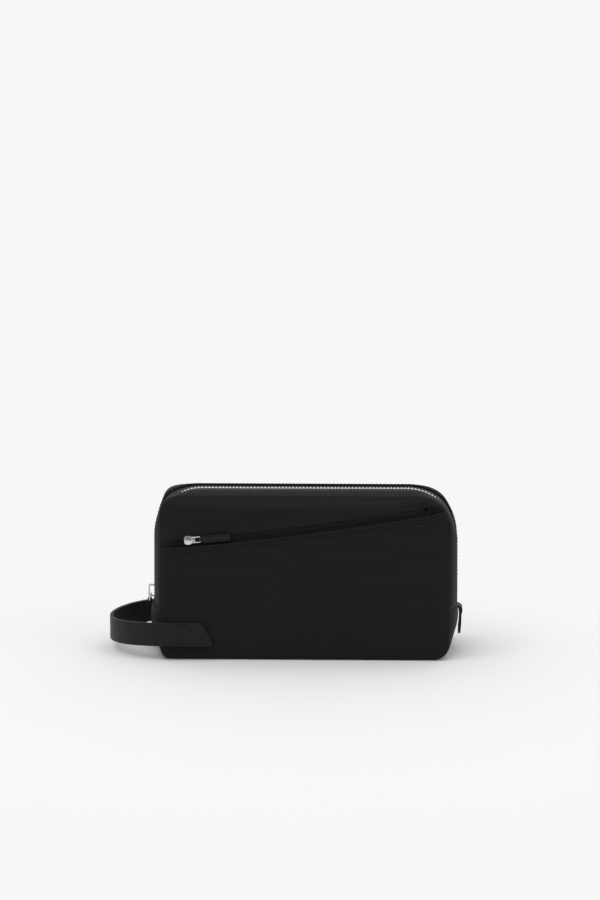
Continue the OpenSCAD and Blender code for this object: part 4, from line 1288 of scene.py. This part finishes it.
def tub_ring(z, inset, half_w):
    """A rounded rectangle at height z. Near the floor it narrows at both ends."""
    w = half_w - inset - 3.0 * MM * smooth((12 * MM - z) / (10 * MM))
    d = half_depth(z) - PANEL_T - LINING_GAP - inset
    r = TUB_R - inset
    points = []
    for q in range(4):
        cx, cy = (w - r) * (1 if q in (0, 3) else -1), (d - r) * (1 if q < 2 else -1)
        turn = np.linspace(q, q + 1, 9) * math.pi / 2
        points += [(cx + r * math.cos(a), cy + r * math.sin(a), z) for a in turn]
    return points


tub_low, tub_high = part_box("lining_tub")
tub_zs = np.linspace(tub_low.z, tub_high.z, 14)
tub_rings = [tub_ring(z, 0, tub_high.x) for z in tub_zs]
tub_rings += [tub_ring(max(z, tub_low.z + LINING_T), LINING_T, tub_high.x) for z in tub_zs[::-1]]
follow(sweep("tub_lining_cloth", tub_rings, lining_cloth, "lining"), "bag", "lining_tub")

# %% [markdown]
# ## Metal parts with soft edges
# Cast and polished zip parts have no sharp edge. Each kept solid is copied, the copy's flat faces are
# merged so that a bevel runs cleanly along their edges, and the copy stands in for the solid.

# %% Soften the metal
def soften(node, width):
    source = frame["nodes"][node]
    bm = bmesh.new()
    bm.from_mesh(source.data)
    bm.transform(source.matrix_world)
    bmesh.ops.remove_doubles(bm, verts=bm.verts, dist=1e-6)
    bmesh.ops.dissolve_limit(bm, angle_limit=math.radians(1), verts=bm.verts, edges=bm.edges)
    bmesh.ops.bevel(
        bm, geom=folds(bm, 40), offset=width, segments=2, profile=0.6, affect="EDGES", clamp_overlap=True
    )
    mesh = bpy.data.meshes.new(node + "_soft")
    bm.to_mesh(mesh)
    bm.free()
    mesh.materials.clear()
    mesh.shade_smooth()
    mesh.set_sharp_from_angle(angle=math.radians(32))
    return show(node + "_soft", mesh, nickel)


for node, body, width in (
    ("main_slider_body", "main_slider", 0.25 * MM),
    ("main_slider_bridge", "main_slider", 0.3 * MM),
    ("pocket_slider_body", "pocket_slider", 0.15 * MM),
    ("pocket_slider_bridge", "pocket_slider", 0.2 * MM),
    ("zip_top_stops", "bag", 0.2 * MM),
    ("zip_bottom_stop", "bag", 0.2 * MM),
):
    follow(soften(node, width), body, node)

# %% [markdown]
# ## Table
# A wide pale sheet carries the bag and its shadow. A lit sheet never looks even all over, so far from
# the bag it shows one plain tone to the camera and in reflections, without lighting the bag more.
# Near the bag it is an ordinary dull surface that keeps the soft shadow.

# %% Floor
FLOOR_TONE = 0.86              # the sheet's own colour
BACKDROP_TONE = 0.93           # the even tone away from the bag
EVEN_FROM, EVEN_TO = 0.32, 0.62                # metres from the bag over which one turns into the other
FLOOR_CORNERS = [(-14, -14, 0), (14, -14, 0), (14, 20, 0), (-14, 20, 0)]


def make_paper():
    own_colour = (FLOOR_TONE, FLOOR_TONE, FLOOR_TONE, 1)
    f = Finish("pale_table", 0.85, Specular_IOR_Level=0.1, Base_Color=own_colour)
    ray = f.node("LightPath").outputs
    seen = f.node("Math", {0: ray["Is Camera Ray"], 1: ray["Is Glossy Ray"]}, operation="ADD").outputs["Value"]
    seen = f.node("Math", {0: seen, 1: ray["Is Transmission Ray"]}, operation="ADD", use_clamp=True)
    place = f.node("TexCoord").outputs["Object"]
    distance = f.node("VectorMath", {0: place}, operation="LENGTH").outputs["Value"]
    span = {"Value": distance, "From Min": EVEN_FROM, "From Max": EVEN_TO}
    far = f.node("MapRange", span, interpolation_type="SMOOTHSTEP").outputs["Result"]
    share = f.node("Math", {0: seen.outputs["Value"], 1: far}, operation="MULTIPLY").outputs["Value"]
    tone = (BACKDROP_TONE, BACKDROP_TONE, BACKDROP_TONE, 1)
    glow = f.node("Emission", {"Color": tone, "Strength": 1.0}).outputs["Emission"]
    both = f.node("MixShader", {0: share, 1: f.shader.outputs["BSDF"], 2: glow}).outputs["Shader"]
    f.tree.links.new(both, f.tree.nodes["Material Output"].inputs["Surface"])
    return f.material


floor_mesh = bpy.data.meshes.new("floor")
floor_mesh.from_pydata(FLOOR_CORNERS, [], [(0, 1, 2, 3)])
floor_mesh.materials.append(make_paper())
floor = bpy.data.objects.new("floor", floor_mesh)
bpy.context.scene.collection.objects.link(floor)
print("floor is even beyond", EVEN_TO, "m")

# %% [markdown]
# ## Studio light
# Three large soft lamps light the bag: one from the upper left, a weaker one from the right, and the
# broadest overhead, which draws the light line along the top. The room is pale like a light tent and
# darker where the camera stands, so the front stays a deep black.

# %% Lamps and room
ROOM_LIGHT, ROOM_DARK = 0.93, 0.3
AIM = Vector((0, 0, 0.06))     # the lamps point here


def add_lamp(name, place, size, watts):
    data = bpy.data.lights.new(name, "AREA")
    data.shape, data.size, data.size_y, data.energy = "RECTANGLE", size[0], size[1], watts
    lamp = bpy.data.objects.new(name, data)
    lamp.location = place
    lamp.rotation_mode = "QUATERNION"
    lamp.rotation_quaternion = (AIM - Vector(place)).to_track_quat("-Z", "Y")
    bpy.context.scene.collection.objects.link(lamp)


def make_room():
    world = bpy.data.worlds.new("room")
    world.use_nodes = True
    tree = world.node_tree
    way = tree.nodes.new("ShaderNodeSeparateXYZ")
    tree.links.new(tree.nodes.new("ShaderNodeTexCoord").outputs["Generated"], way.inputs["Vector"])
    toward = tree.nodes.new("ShaderNodeMath")
    toward.operation = "MULTIPLY"                    # 1 straight to the front, 0 or less elsewhere
    tree.links.new(way.outputs["Y"], toward.inputs[0])
    toward.inputs[1].default_value = -1.0
    ramp = tree.nodes.new("ShaderNodeValToRGB")
    tree.links.new(toward.outputs["Value"], ramp.inputs["Fac"])
    for element, position, tone in zip(ramp.color_ramp.elements, (0.15, 0.9), (ROOM_LIGHT, ROOM_DARK)):
        element.position = position
        element.color = (tone, tone, tone, 1)
    tree.links.new(ramp.outputs["Color"], tree.nodes["Background"].inputs["Color"])
    return world


add_lamp("key", (-0.9, -0.9, 2.2), (1.4, 1.0), 8)
add_lamp("fill", (1.8, -0.9, 1.4), (1.2, 1.2), 4)
add_lamp("top", (0.0, 0.3, 2.4), (2.6, 1.8), 12)
bpy.context.scene.world = make_room()
bpy.context.scene.view_settings.view_transform = "Standard"
print("lamps:", len(bpy.data.lights))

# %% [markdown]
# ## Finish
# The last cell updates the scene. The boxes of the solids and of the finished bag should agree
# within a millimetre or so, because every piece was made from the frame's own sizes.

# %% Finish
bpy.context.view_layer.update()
